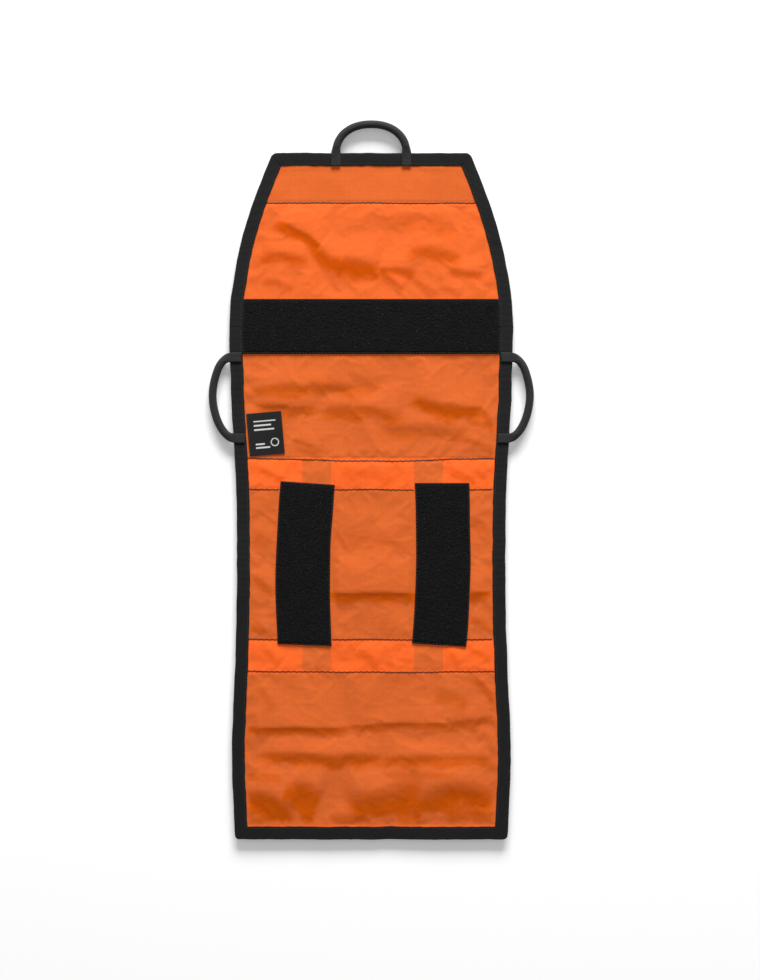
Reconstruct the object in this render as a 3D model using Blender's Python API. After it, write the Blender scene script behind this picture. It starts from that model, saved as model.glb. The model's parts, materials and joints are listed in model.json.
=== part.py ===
"""Fold-out pocket organiser panel: a soft backboard in hinged sections, lying on its pocket side.

X is across the panel, Y runs from the bottom edge to the flap, Z is up, out of the back face.
Stations along the panel are distances from the bottom edge and become Y through along().
Heights are offsets from the middle of the shell cloth and become Z through level().
"""
import math

import bmesh
import bpy
import numpy as np

COLLECTION = "Organiser panel"

# Lengths along the panel, from its bottom edge (metres)
PANEL_LENGTH = 0.6357
LOWER_SEAM = 0.1556
MIDDLE_POCKET = (0.1850, 0.3250)
UPPER_SEAM = 0.3528
LOOP_BAND = (0.4496, 0.5005)
FLAP_SEAM = 0.5894
BAND_FOLD_HIGH = UPPER_SEAM - 0.0015
BAND_FOLD_LOW = 0.3326
SPINE_FOLD_LOW = 0.5370
SPINE_FOLD_HIGH = SPINE_FOLD_LOW + 0.0260

# Half width of the panel at stations along it: a straight body with a tapered flap
EDGE_STATIONS = (0.0, 0.088, 0.156, 0.325, 0.425, 0.500, 0.546, 0.588, PANEL_LENGTH)
EDGE_HALF_WIDTHS = (0.1260, 0.1293, 0.1262, 0.1252, 0.1304, 0.1300, 0.1222, 0.1102, 0.0915)
STATION_STEP = 0.022

# Cloth thicknesses and the clearances that separate sewn layers (metres)
GAP = 0.0003
SHELL_THICK = 0.0005
TAPE_THICK = 0.0005
BINDING_WIDTH = 0.0120
SHELL_INSET = TAPE_THICK + GAP
BINDING_HALF = SHELL_THICK / 2 + GAP + TAPE_THICK
FOLD_CLEAR = 0.0013
INNER_TAPE_CLEAR = 0.0018

# Hook-and-loop strips and webbing
HOOK_LOOP_THICK = 0.0015
STRIP_WIDTH = 0.0500
CLOSURE_STRIP = (0.1801, 0.3301)
CLOSURE_CENTRE = 0.0014
CLOSURE_INNER_HALF = 0.0378
WEBBING_WIDTH = 0.0280
WEBBING_THICK = 0.0008

# Pocket layers, as offsets below the middle of the shell
LAYER_TOP = -(SHELL_THICK / 2 + GAP)
PANEL_TOP = LAYER_TOP - 0.0011
PANEL_BOTTOM = PANEL_TOP - 0.0005
RIM_WIDTH = 0.0025
ZIP_TAPE_TOP = PANEL_BOTTOM - GAP
ZIP_TAPE_BOTTOM = ZIP_TAPE_TOP - 0.0005
ZIP_TAPE_WIDTH = 0.0110
COIL_WIDTH = 0.0034
COIL_BOTTOM = ZIP_TAPE_TOP - 0.0012
ZIP_HALF_LENGTH = 0.1105
ZIP_DROP = 0.0180
ZIP_OPENING_HALF = 0.0080
SLIDER_LENGTH = 0.0130
SLIDER_WIDTH = 0.0090
SLIDER_PLATE_TOP = COIL_BOTTOM - GAP
SLIDER_BOTTOM = SLIDER_PLATE_TOP - 0.0008
SLIDER_PARK = 0.0950
PULL_LENGTH = 0.0220
PULL_WIDTH = 0.0044
PULL_THICK = 0.0006
PULL_SLOT = 0.0030
PULL_AXIS_INSET = 0.0010

# Handles: an elliptical bow of round cord, and the flattened ends sewn over the binding
CORD_RADIUS = 0.0037
HANDLE_STANDOFF = CORD_RADIUS + 0.0004
TOP_BOW = (0.0343, 0.0323)
TOP_BOW_CENTRE = PANEL_LENGTH - 0.0057
SIDE_BOW = (0.0409, 0.0193)
SIDE_BOW_STATION = 0.4090
SIDE_BOW_CENTRE = 0.1276
SIDE_HINGE = max(EDGE_HALF_WIDTHS) + HANDLE_STANDOFF + 0.0008
BOW_POINTS = 17
ANCHOR_WIDTH = 0.0090
ANCHOR_LENGTH = 0.0150
ANCHOR_THICK = 0.0012
SIDE_ANCHOR_LENGTH = 0.0115

# Care label
LABEL_SIZE = (0.0324, 0.0395)
LABEL_CENTRE = (-0.0979, 0.3758)
LABEL_TURN = math.radians(5)

# The whole part is centred on its box and stands on its lowest point
HANDLE_RISE = TOP_BOW[1] + CORD_RADIUS - 0.0057
ORIGIN_SHIFT = -(PANEL_LENGTH + HANDLE_RISE) / 2
SHELL_HEIGHT = -SLIDER_BOTTOM

ORANGE = (0.85, 0.16, 0.04, 1)
BLACK = (0.02, 0.02, 0.021, 1)
LOOP_BLACK = (0.008, 0.008, 0.009, 1)
MESH_GREY = (0.03, 0.03, 0.032, 1)
METAL = (0.05, 0.05, 0.055, 1)


def along(station):
    """The Y of a station along the panel."""
    return station + ORIGIN_SHIFT


def level(offset):
    """The Z of a height above (or below) the middle of the shell."""
    return SHELL_HEIGHT + offset


def half_width(station):
    """Half width at a station: a cubic through the edge stations, slopes from their neighbours."""
    s = np.asarray(EDGE_STATIONS)
    w = np.asarray(EDGE_HALF_WIDTHS)
    slope = np.gradient(w, s)
    i = int(np.clip(np.searchsorted(s, station) - 1, 0, len(s) - 2))
    step = s[i + 1] - s[i]
    t = (station - s[i]) / step
    rise = (3 - 2 * t) * t * t
    ease_in = t * (1 - t) ** 2 * slope[i]
    ease_out = t * t * (1 - t) * slope[i + 1]
    return float(w[i] + (w[i + 1] - w[i]) * rise + step * (ease_in - ease_out))


def stations(low, high):
    """Evenly spaced stations from low to high, close enough to carry the outline's curve."""
    count = max(2, math.ceil((high - low) / STATION_STEP) + 1)
    return [float(s) for s in np.linspace(low, high, count)]


def clear_scene():
    for obj in list(bpy.data.objects):
        bpy.data.objects.remove(obj, do_unlink=True)


def make_collection(name):
    group = bpy.data.collections.new(name)
    bpy.context.scene.collection.children.link(group)
    return group


def make_material(name, colour, roughness, metallic=0.0):
    material = bpy.data.materials.new(name)
    material.use_nodes = True
    shader = material.node_tree.nodes["Principled BSDF"]
    shader.inputs["Base Color"].default_value = colour
    shader.inputs["Roughness"].default_value = roughness
    shader.inputs["Metallic"].default_value = metallic
    return material


def prism(name, points, low, high, group):
    """A flat outline, given as (x, station) points, filled and extruded from low to high."""
    curve = bpy.data.curves.new(name, "CURVE")
    curve.dimensions = "2D"
    curve.fill_mode = "BOTH"
    curve.extrude = (high - low) / 2
    spline = curve.splines.new("POLY")
    spline.points.add(len(points) - 1)
    for point, (x, station) in zip(spline.points, points):
        point.co = (x, along(station), 0, 1)
    spline.use_cyclic_u = True
    obj = bpy.data.objects.new(name, curve)
    obj.location.z = level((low + high) / 2)
    group.objects.link(obj)
    return obj


def as_mesh(obj, group):
    """The same shape as a welded mesh object, so that it can be cut."""
    bpy.context.view_layer.update()
    evaluated = obj.evaluated_get(bpy.context.evaluated_depsgraph_get())
    mesh = bpy.data.meshes.new_from_object(evaluated)
    name, matrix = obj.name, obj.matrix_world.copy()
    bpy.data.objects.remove(obj, do_unlink=True)
    welded = bmesh.new()
    welded.from_mesh(mesh)
    bmesh.ops.remove_doubles(welded, verts=welded.verts, dist=0.00001)
    bmesh.ops.recalc_face_normals(welded, faces=welded.faces)
    welded.to_mesh(mesh)
    welded.free()
    result = bpy.data.objects.new(name, mesh)
    result.matrix_world = matrix
    group.objects.link(result)
    return result


def cut(obj, cutter, operation="DIFFERENCE"):
    """Cuts obj with a cutter, which is hidden and kept with the guides."""
    tool = as_mesh(cutter, GUIDES)
    tool.hide_render = True
    tool.display_type = "WIRE"
    body = as_mesh(obj, PARTS)
    modifier = body.modifiers.new(tool.name, "BOOLEAN")
    modifier.object = tool
    modifier.operation = operation
    modifier.solver = "EXACT"
    return body


def full_outline(low, high, inset):
    """The panel's outline between two stations, inset from both side edges."""
    right = [(half_width(s) - inset, s) for s in stations(low, high)]
    return right + [(-x, s) for x, s in reversed(right)]


def side_outline(low, high, outer, inner, side):
    """A strip along one side edge, between two insets from it."""
    rows = stations(low, high)
    outside = [(side * (half_width(s) - outer), s) for s in rows]
    inside = [(side * (half_width(s) - inner), s) for s in reversed(rows)]
    return outside + inside


def rectangle(x_low, x_high, low, high):
    return [(x_low, low), (x_high, low), (x_high, high), (x_low, high)]


def shell_section(name, low, high):
    """One section of the backboard's cloth, between two folds or ends."""
    half = SHELL_THICK / 2
    obj = prism(name, full_outline(low, high, SHELL_INSET), -half, half, PARTS)
    finish(obj, ORANGE, 0.55)


def side_binding(name, low, high, side):
    """Binding tape folded round one side edge: a flat strip with a slot for the cloth."""
    obj = prism(name, side_outline(low, high, 0, BINDING_WIDTH, side), -BINDING_HALF, BINDING_HALF, PARTS)
    slot_half = SHELL_THICK / 2 + GAP
    past = side_outline(low - 0.002, high + 0.002, TAPE_THICK, BINDING_WIDTH + 0.002, side)
    finish(cut(obj, prism(name + "_slot", past, -slot_half, slot_half, GUIDES)), BLACK, 0.8)


def end_binding(name, end, inward):
    """Binding tape folded over the bottom or top edge; inward is +1 or -1 along the panel."""
    inner = end + inward * BINDING_WIDTH
    low, high = min(end, inner), max(end, inner)
    obj = prism(name, full_outline(low, high, 0), -BINDING_HALF, BINDING_HALF, PARTS)
    slot_half = SHELL_THICK / 2 + GAP
    start, stop = end + inward * TAPE_THICK, end + inward * (BINDING_WIDTH + 0.002)
    past = full_outline(min(start, stop), max(start, stop), TAPE_THICK)
    finish(cut(obj, prism(name + "_slot", past, -slot_half, slot_half, GUIDES)), BLACK, 0.8)


def bindings(section, low, high):
    for word, side in (("left", -1), ("right", 1)):
        side_binding(f"binding_{section}_{word}", low, high, side)


def flat_strip(name, points, low, thickness, colour, roughness):
    """A strip of tape sewn on the back face, thickness upwards from low."""
    finish(prism(name, points, low, low + thickness, PARTS), colour, roughness)


def webbing_span(side, margin=0.0):
    """The low and high X of one webbing strap, which runs along the inside of a closure strip."""
    inner = CLOSURE_CENTRE + side * (CLOSURE_INNER_HALF - margin)
    outer = CLOSURE_CENTRE + side * (CLOSURE_INNER_HALF + WEBBING_WIDTH + margin)
    return min(inner, outer), max(inner, outer)


def pocket_panel(name, low, high, open_side, colour, over_webbing):
    """Half of a pocket front: a shallow tray whose rim is sewn to the shell, open towards the zip."""
    inset = BINDING_WIDTH + GAP
    obj = prism(name, full_outline(low, high, inset), PANEL_BOTTOM, LAYER_TOP, PARTS)
    start = low - 0.002 if open_side == "low" else low + RIM_WIDTH
    stop = high + 0.002 if open_side == "high" else high - RIM_WIDTH
    hollow = full_outline(start, stop, inset + RIM_WIDTH)
    body = cut(obj, prism(name + "_hollow", hollow, PANEL_TOP, LAYER_TOP + 0.001, GUIDES))
    for word, side in (("left", -1), ("right", 1)) if over_webbing else ():
        notch = rectangle(*webbing_span(side, GAP), low - 0.002, high + 0.002)
        body = cut(body, prism(f"{name}_notch_{word}", notch, PANEL_TOP, LAYER_TOP + 0.001, GUIDES))
    finish(body, colour, 0.7)


def zip_parts(pocket, centre, park_side):
    """A coil zip across the pocket, its slider parked at one side, and the slider's pull tab."""
    for word, side in (("lower", -1), ("upper", 1)):
        near = centre + side * (COIL_WIDTH / 2 + GAP)
        far = near + side * ZIP_TAPE_WIDTH
        outline = rectangle(-ZIP_HALF_LENGTH, ZIP_HALF_LENGTH, min(near, far), max(near, far))
        finish(prism(f"{pocket}_zip_tape_{word}", outline, ZIP_TAPE_BOTTOM, ZIP_TAPE_TOP, PARTS), BLACK, 0.8)
    half = COIL_WIDTH / 2
    outline = rectangle(-ZIP_HALF_LENGTH, ZIP_HALF_LENGTH, centre - half, centre + half)
    finish(prism(f"{pocket}_zip_coil", outline, COIL_BOTTOM, ZIP_TAPE_TOP, PARTS), BLACK, 0.4)

    middle = park_side * SLIDER_PARK
    end = middle - park_side * SLIDER_LENGTH / 2
    start = middle + park_side * SLIDER_LENGTH / 2
    width = SLIDER_WIDTH / 2
    flange_top = ZIP_TAPE_BOTTOM - GAP
    outline = rectangle(min(start, end), max(start, end), centre - width, centre + width)
    body = prism(f"{pocket}_zip_slider", outline, SLIDER_BOTTOM, flange_top, PARTS)
    channel = rectangle(min(start, end) - 0.002, max(start, end) + 0.002, centre - half - GAP, centre + half + GAP)
    body = cut(body, prism(f"{pocket}_slider_channel", channel, SLIDER_PLATE_TOP, flange_top + 0.001, GUIDES))
    slot_end = end + park_side * PULL_SLOT
    slot_half = PULL_WIDTH / 2 + GAP
    low, high = sorted((end - park_side * 0.002, slot_end))
    slot = rectangle(low, high, centre - slot_half, centre + slot_half)
    body = cut(body, prism(f"{pocket}_pull_slot", slot, SLIDER_BOTTOM - 0.001, SLIDER_PLATE_TOP + 0.0002, GUIDES))
    finish(body, METAL, 0.35, 1.0)

    axis = end + park_side * PULL_AXIS_INSET
    pull_middle = (SLIDER_PLATE_TOP + SLIDER_BOTTOM) / 2
    round_end = [
        (
            axis - park_side * (PULL_LENGTH - PULL_WIDTH / 2 + PULL_WIDTH / 2 * math.cos(turn)),
            centre + PULL_WIDTH / 2 * math.sin(turn),
        )
        for turn in np.linspace(math.pi / 2, -math.pi / 2, 7)
    ]
    back = axis + park_side * PULL_THICK / 2
    outline = round_end + [(back, centre - PULL_WIDTH / 2), (back, centre + PULL_WIDTH / 2)]
    pull = prism(
        f"{pocket}_zip_pull", outline, pull_middle - PULL_THICK / 2, pull_middle + PULL_THICK / 2, PARTS
    )
    finish(pull, METAL, 0.35, 1.0)


def pocket(name, low, high, park_side, over_webbing=False):
    """A zipped pocket on the far face: mesh front below the zip, plain header strip above it."""
    centre = high - ZIP_DROP
    pocket_panel(f"{name}_pocket_front", low, centre - ZIP_OPENING_HALF, "high", MESH_GREY, over_webbing)
    pocket_panel(f"{name}_pocket_header", centre + ZIP_OPENING_HALF, high, "low", ORANGE, over_webbing)
    zip_parts(f"{name}_pocket", centre, park_side)


def bow(name, path, hinge):
    """A cord handle: a round tube along path with rounded ends, its origin on its swing axis."""
    curve = bpy.data.curves.new(name, "CURVE")
    curve.dimensions = "3D"
    curve.bevel_depth = CORD_RADIUS
    curve.bevel_resolution = 2
    curve.use_fill_caps = True
    spline = curve.splines.new("POLY")
    spline.points.add(len(path) - 1)
    reach = [math.dist(point, path[0]) for point in path]
    back = [math.dist(point, path[-1]) for point in path]
    for point, place, near, far in zip(spline.points, path, reach, back):
        depth = min(near, far, CORD_RADIUS)
        point.co = (*(a - b for a, b in zip(place, hinge)), 1)
        point.radius = max(0.45, math.sqrt(1 - (1 - depth / CORD_RADIUS) ** 2))
    obj = bpy.data.objects.new(name, curve)
    obj.location = hinge
    PARTS.objects.link(obj)
    finish(obj, BLACK, 0.75)


def bow_path(half_span, rise, hinge_drop):
    """Points (across, out) along an elliptical bow, from one foot past the hinge line to the other."""
    foot = math.asin(hinge_drop / rise)
    turns = np.linspace(foot, math.pi - foot, BOW_POINTS)
    ends = np.array([CORD_RADIUS, CORD_RADIUS * 0.45])
    arc = [(half_span * math.cos(t), rise * math.sin(t)) for t in turns]
    first = [(arc[0][0], arc[0][1] - drop) for drop in ends]
    last = [(arc[-1][0], arc[-1][1] - drop) for drop in reversed(ends)]
    return first + arc + last


def top_handle():
    """The bow above the flap's top edge."""
    hinge_station = PANEL_LENGTH + HANDLE_STANDOFF
    feet = bow_path(*TOP_BOW, hinge_station - TOP_BOW_CENTRE)
    path = [(x, along(TOP_BOW_CENTRE + out), level(0)) for x, out in feet]
    bow("handle_top", path, (0, along(hinge_station), level(0)))
    foot = feet[2][0]
    for word, side in (("left", -1), ("right", 1)):
        anchor(f"handle_top_anchor_{word}", side * foot, PANEL_LENGTH - ANCHOR_LENGTH / 2, (ANCHOR_WIDTH, ANCHOR_LENGTH))


def side_handle(word, side):
    """A bow beside the upper section; side is -1 or +1 across the panel."""
    feet = bow_path(*SIDE_BOW, SIDE_HINGE - SIDE_BOW_CENTRE)
    path = [(side * (SIDE_BOW_CENTRE + out), along(SIDE_BOW_STATION + span), level(0)) for span, out in feet]
    bow(f"handle_{word}", path, (side * SIDE_HINGE, along(SIDE_BOW_STATION), level(0)))
    for end, span in (("low", -feet[2][0]), ("high", feet[2][0])):
        station = SIDE_BOW_STATION + span
        middle = side * (half_width(station) - BINDING_WIDTH / 2)
        anchor(f"handle_{word}_anchor_{end}", middle, station, (SIDE_ANCHOR_LENGTH, ANCHOR_WIDTH))


def anchor(name, x, station, size):
    """The flattened end of a handle cord, sewn over the binding."""
    low = BINDING_HALF + GAP
    outline = rectangle(x - size[0] / 2, x + size[0] / 2, station - size[1] / 2, station + size[1] / 2)
    finish(prism(name, outline, low, low + ANCHOR_THICK, PARTS), BLACK, 0.8)


def label():
    """A woven label, sewn along its left edge, which is its turning axis."""
    across, tall = LABEL_SIZE
    low = SHELL_THICK / 2 + GAP
    outline = rectangle(0, across, -tall / 2 - ORIGIN_SHIFT, tall / 2 - ORIGIN_SHIFT)
    obj = prism("care_label", outline, low, low + TAPE_THICK, PARTS)
    reach = -across / 2
    obj.location.x = LABEL_CENTRE[0] + reach * math.cos(LABEL_TURN)
    obj.location.y = along(LABEL_CENTRE[1]) + reach * math.sin(LABEL_TURN)
    obj.rotation_euler.z = LABEL_TURN
    finish(obj, BLACK, 0.7)


def finish(obj, colour, roughness, metallic=0.0):
    """Gives a piece its own material."""
    obj.data.materials.clear()
    obj.data.materials.append(make_material(obj.name, colour, roughness, metallic))


def build_lower():
    end = LOWER_SEAM - GAP
    shell_section("shell_lower", SHELL_INSET, end)
    end_binding("binding_bottom", 0, 1)
    bindings("lower", BINDING_WIDTH + GAP, end)
    pocket("lower", BINDING_WIDTH + GAP, LOWER_SEAM - 0.002, -1)


def build_middle():
    low, high = LOWER_SEAM + GAP, BAND_FOLD_LOW - FOLD_CLEAR
    shell_section("shell_middle", low, high)
    bindings("middle", low, high)
    pocket("middle", *MIDDLE_POCKET, 1, over_webbing=True)
    for word, side in (("left", -1), ("right", 1)):
        inner = CLOSURE_CENTRE + side * CLOSURE_INNER_HALF
        outer = inner + side * STRIP_WIDTH
        outline = rectangle(min(inner, outer), max(inner, outer), *CLOSURE_STRIP)
        base = SHELL_THICK / 2 + GAP
        flat_strip(f"closure_loop_{word}", outline, base, HOOK_LOOP_THICK, LOOP_BLACK, 0.95)
        webbing(f"webbing_middle_{word}", side, low, BAND_FOLD_LOW - INNER_TAPE_CLEAR)
        webbing(f"webbing_band_{word}", side, BAND_FOLD_LOW + INNER_TAPE_CLEAR, BAND_FOLD_HIGH - INNER_TAPE_CLEAR)


def webbing(name, side, low, high):
    """A webbing strap on the pocket side of the shell, behind the pocket's inside edge."""
    outline = rectangle(*webbing_span(side), low, high)
    finish(prism(name, outline, LAYER_TOP - WEBBING_THICK, LAYER_TOP, PARTS), BLACK, 0.8)


def build_band():
    low, high = BAND_FOLD_LOW + FOLD_CLEAR, BAND_FOLD_HIGH - FOLD_CLEAR
    shell_section("shell_band", low, high)
    bindings("band", low, high)


def build_upper():
    low, high = BAND_FOLD_HIGH + FOLD_CLEAR, SPINE_FOLD_LOW - FOLD_CLEAR
    shell_section("shell_upper", low, high)
    bindings("upper", low, high)
    pocket("upper", UPPER_SEAM + 0.0005, LOOP_BAND[1], -1)
    outline = full_outline(*LOOP_BAND, BINDING_WIDTH + GAP)
    flat_strip("rear_loop_band", outline, SHELL_THICK / 2 + GAP, HOOK_LOOP_THICK, LOOP_BLACK, 0.95)
    side_handle("left", -1)
    side_handle("right", 1)
    label()


def build_flap():
    low, high = SPINE_FOLD_LOW + FOLD_CLEAR, SPINE_FOLD_HIGH - FOLD_CLEAR
    shell_section("shell_spine", low, high)
    bindings("spine", low, high)
    low = SPINE_FOLD_HIGH + FOLD_CLEAR
    shell_section("shell_flap", low, PANEL_LENGTH - SHELL_INSET)
    bindings("flap", low, PANEL_LENGTH - BINDING_WIDTH - GAP)
    end_binding("binding_top", PANEL_LENGTH, -1)
    outline = full_outline(FLAP_SEAM + 0.0006, PANEL_LENGTH - BINDING_WIDTH - GAP, BINDING_WIDTH + GAP)
    finish(prism("closure_hook_strip", outline, LAYER_TOP - HOOK_LOOP_THICK, LAYER_TOP, PARTS), LOOP_BLACK, 0.9)
    top_handle()


clear_scene()
PARTS = make_collection(COLLECTION)
GUIDES = make_collection("Cutters")
build_lower()
build_middle()
build_band()
build_upper()
build_flap()
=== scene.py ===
import json
import math

import bpy
import numpy as np
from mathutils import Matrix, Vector


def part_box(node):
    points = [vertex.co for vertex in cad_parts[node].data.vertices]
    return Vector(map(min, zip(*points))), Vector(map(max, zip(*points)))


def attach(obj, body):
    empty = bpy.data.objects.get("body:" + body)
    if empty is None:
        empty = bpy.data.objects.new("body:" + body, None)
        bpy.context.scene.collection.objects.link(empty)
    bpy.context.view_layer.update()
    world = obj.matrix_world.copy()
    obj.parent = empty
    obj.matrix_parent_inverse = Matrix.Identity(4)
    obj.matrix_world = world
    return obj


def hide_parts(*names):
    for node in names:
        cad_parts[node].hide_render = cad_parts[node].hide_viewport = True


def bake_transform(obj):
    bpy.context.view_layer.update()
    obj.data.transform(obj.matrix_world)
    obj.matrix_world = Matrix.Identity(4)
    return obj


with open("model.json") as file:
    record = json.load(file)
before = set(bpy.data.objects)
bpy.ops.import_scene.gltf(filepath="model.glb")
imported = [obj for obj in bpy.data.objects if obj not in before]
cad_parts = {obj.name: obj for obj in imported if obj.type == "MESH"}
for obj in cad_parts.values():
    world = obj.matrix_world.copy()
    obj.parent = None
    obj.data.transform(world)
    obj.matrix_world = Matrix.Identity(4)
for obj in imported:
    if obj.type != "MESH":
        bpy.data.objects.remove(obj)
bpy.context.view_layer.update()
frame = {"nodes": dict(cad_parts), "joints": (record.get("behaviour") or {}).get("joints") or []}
nodes = frame["nodes"]
mm = 0.001
up = np.array([0, 0, 1.0])

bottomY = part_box("binding_bottom")[0].y
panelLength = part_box("binding_top")[1].y - bottomY
shellLow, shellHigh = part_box("shell_upper")
middleZ = (shellLow.z + shellHigh.z) / 2
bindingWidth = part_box("binding_bottom")[1].y - bottomY
foldPoint = {j["name"]: Vector(j["pos_m"]) for j in frame["joints"] if j["type"] == "hinge"}
foldStation = {name: point.y - bottomY for name, point in foldPoint.items()}


def easing(t):
    # 0 below 0, 1 above 1, and a smooth S between
    t = np.clip(t, 0, 1)
    return t * t * (3 - 2 * t)


def window(value, low, high, soft):
    # 1 between low and high, fading to 0 at each over the soft distance inside it
    return easing((value - low) / soft) * easing((high - value) / soft)


def signedPower(value, power):
    # the power of a value's size, with the value's own sign
    return np.sign(value) * np.abs(value) ** power


def circle(sides):
    # the cosine and sine of even steps round a circle
    angle = np.arange(sides) / sides * 2 * math.pi
    return np.cos(angle), np.sin(angle)


def evenNet(rows, columns):
    # a net of even steps from (low, high, count) up the panel and across it
    return np.meshgrid(np.linspace(*rows), np.linspace(*columns), indexing="ij")


def stationBox(name):
    # (x low, x high, station low, station high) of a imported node
    low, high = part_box(name)
    return low.x, high.x, low.y - bottomY, high.y - bottomY


def panelOutline():
    # half width at even stations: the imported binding's outer points, joined, then rounded by a bell-shaped average
    stations, halves = [], []
    for name in sorted(nodes):
        if not name.startswith("binding_") or name.endswith("_left"):
            continue
        points = np.empty(len(nodes[name].data.vertices) * 3, np.float32)
        nodes[name].data.vertices.foreach_get("co", points)
        points = points.reshape(-1, 3)
        rows, which = np.unique(np.round(points[:, 1] - bottomY, 5), return_inverse=True)
        widest, narrowest = np.full(len(rows), -1.0), np.full(len(rows), 1.0)
        np.maximum.at(widest, which, points[:, 0])
        np.minimum.at(narrowest, which, points[:, 0])
        if name in ("binding_bottom", "binding_top"):
            keep = np.isin(rows, (rows[0], rows[-1]))
        else:
            keep = widest - narrowest > 0.95 * bindingWidth
        stations += list(rows[keep])
        halves += list(widest[keep])
    order = np.argsort(stations)
    even = np.arange(-0.02, panelLength + 0.02, 0.001)
    stations, halves = np.array(stations)[order], np.array(halves)[order]
    firstSlope = (halves[3] - halves[0]) / (stations[3] - stations[0])
    lastSlope = (halves[-1] - halves[-4]) / (stations[-1] - stations[-4])
    joined = np.interp(even, stations, halves)
    joined += np.minimum(even, 0) * firstSlope + np.maximum(even - panelLength, 0) * lastSlope
    bell = np.hanning(19)
    padded = np.pad(joined, 9, mode="reflect", reflect_type="odd")
    return even, np.convolve(padded, bell / bell.sum(), mode="valid")


outlineStations, outlineHalves = panelOutline()


def halfWidth(station):
    # half the panel's width at a station
    return np.interp(station, outlineStations, outlineHalves)


def edgeLean(station):
    # the inward normal of the right-hand edge: how far it goes in, and how far it goes up the panel
    slope = (halfWidth(station + 0.002) - halfWidth(station - 0.002)) / 0.004
    length = np.sqrt(1 + slope * slope)
    return 1 / length, slope / length


print("outline: half width", round(float(halfWidth(0.0)), 4), "to", round(float(halfWidth(panelLength)), 4))

# how the cloth is shared between the sections, and which fold each share crosses
lowerShare = 0.2264
zones = [
    dict(name="lower", high=lowerShare, bodies=("lower", "middle"), fold="lower_fold", reach=0.0085),
    dict(name="middle", high=(foldStation["middle_fold"] + foldStation["upper_band_fold"]) / 2,
         bodies=("middle", "upper_band"), fold="middle_fold", reach=0.0035),
    dict(name="upper", high=sum(stationBox("rear_loop_band")[2:]) / 2,
         bodies=("upper_band", "upper"), fold="upper_band_fold", reach=0.0055),
    dict(name="spine", high=(foldStation["flap_spine_fold"] + foldStation["flap_fold"]) / 2,
         bodies=("upper", "flap_spine"), fold="flap_spine_fold", reach=0.006),
    dict(name="flap", high=panelLength, bodies=("flap_spine", "flap"), fold="flap_fold", reach=0.006),
]
zoneLow = 0.0
for zone in zones:
    zone["low"], zoneLow = zoneLow, zone["high"]
zoneByName = {zone["name"]: zone for zone in zones}


def followZone(piece):
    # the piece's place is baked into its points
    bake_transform(piece)


# mesh making

def gridFaces(rows, columns, wrapRows=False, wrapColumns=False, flip=False):
    # the four corners of each cell of a rows x columns net
    r = np.arange(rows if wrapRows else rows - 1)
    c = np.arange(columns if wrapColumns else columns - 1)
    r, c = (a.ravel() for a in np.meshgrid(r, c, indexing="ij"))
    nextR, nextC = (r + 1) % rows, (c + 1) % columns
    faces = np.stack([r * columns + c, r * columns + nextC, nextR * columns + nextC, nextR * columns + c], -1)
    return faces[:, ::-1] if flip else faces


def netNormals(net):
    # the way each point of a net faces: its row direction crossed with its column direction
    normals = np.cross(np.gradient(net, axis=1), np.gradient(net, axis=0))
    return normals / np.maximum(np.linalg.norm(normals, axis=-1, keepdims=True), 1e-12)


def part(points, faces, uv=None, material=0, smooth=True, normals=None, **layers):
    # one net of a piece, with its uv, material number, shading and named values all given per point or per face
    points = np.asarray(points, float).reshape(-1, 3)
    uv = np.zeros((len(points), 2)) if uv is None else np.asarray(uv, float).reshape(-1, 2)
    faces = np.asarray(faces)
    smooth = np.full(len(faces), smooth) if np.isscalar(smooth) else np.asarray(smooth)
    layers = {name: np.broadcast_to(values, len(points)) for name, values in layers.items()}
    normals = np.zeros_like(points) if normals is None else np.asarray(normals, float).reshape(-1, 3)
    return dict(points=points, faces=faces, uv=uv, material=material, smooth=smooth, normals=normals, layers=layers)


def meshPiece(name, parts, materials):
    # one object from several nets, each with its own material number, uv in metres and named values per point
    counts = np.cumsum([0] + [len(p["points"]) for p in parts])
    points = np.concatenate([p["points"] for p in parts])
    faces = np.concatenate([p["faces"] + start for p, start in zip(parts, counts)])
    mesh = bpy.data.meshes.new(name)
    mesh.from_pydata(points, [], faces)
    corners = np.empty(len(mesh.loops), np.int32)
    mesh.loops.foreach_get("vertex_index", corners)
    uv = np.concatenate([p["uv"] for p in parts])
    mesh.uv_layers.new(name="maker").data.foreach_set("uv", uv[corners].astype(np.float32).ravel())
    for layer in sorted({key for p in parts for key in p["layers"]}):
        values = np.concatenate([p["layers"].get(layer, np.zeros(len(p["points"]))) for p in parts])
        mesh.attributes.new(layer, "FLOAT", "POINT").data.foreach_set("value", values.astype(np.float32))
    numbers = np.concatenate([np.full(len(p["faces"]), p["material"], np.int32) for p in parts])
    mesh.polygons.foreach_set("material_index", numbers)
    mesh.polygons.foreach_set("use_smooth", np.concatenate([p["smooth"] for p in parts]))
    for material in materials:
        mesh.materials.append(material)
    mesh.update()
    normals = np.concatenate([p["normals"] for p in parts])
    if normals.any():
        # shading normals worked out with the net, so two pieces that meet at a cut shade as one
        smooth = np.repeat(np.concatenate([p["smooth"] for p in parts]), 4)
        mesh.normals_split_custom_set(np.where(smooth[:, None], normals[corners], 0))
    piece = bpy.data.objects.new(name, mesh)
    bpy.context.scene.collection.objects.link(piece)
    return piece


def ridingPiece(name, parts, materials, node, bodyName):
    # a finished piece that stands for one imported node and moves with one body
    piece = meshPiece(name, parts, materials)
    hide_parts(node)
    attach(piece, bodyName)
    return piece


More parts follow.
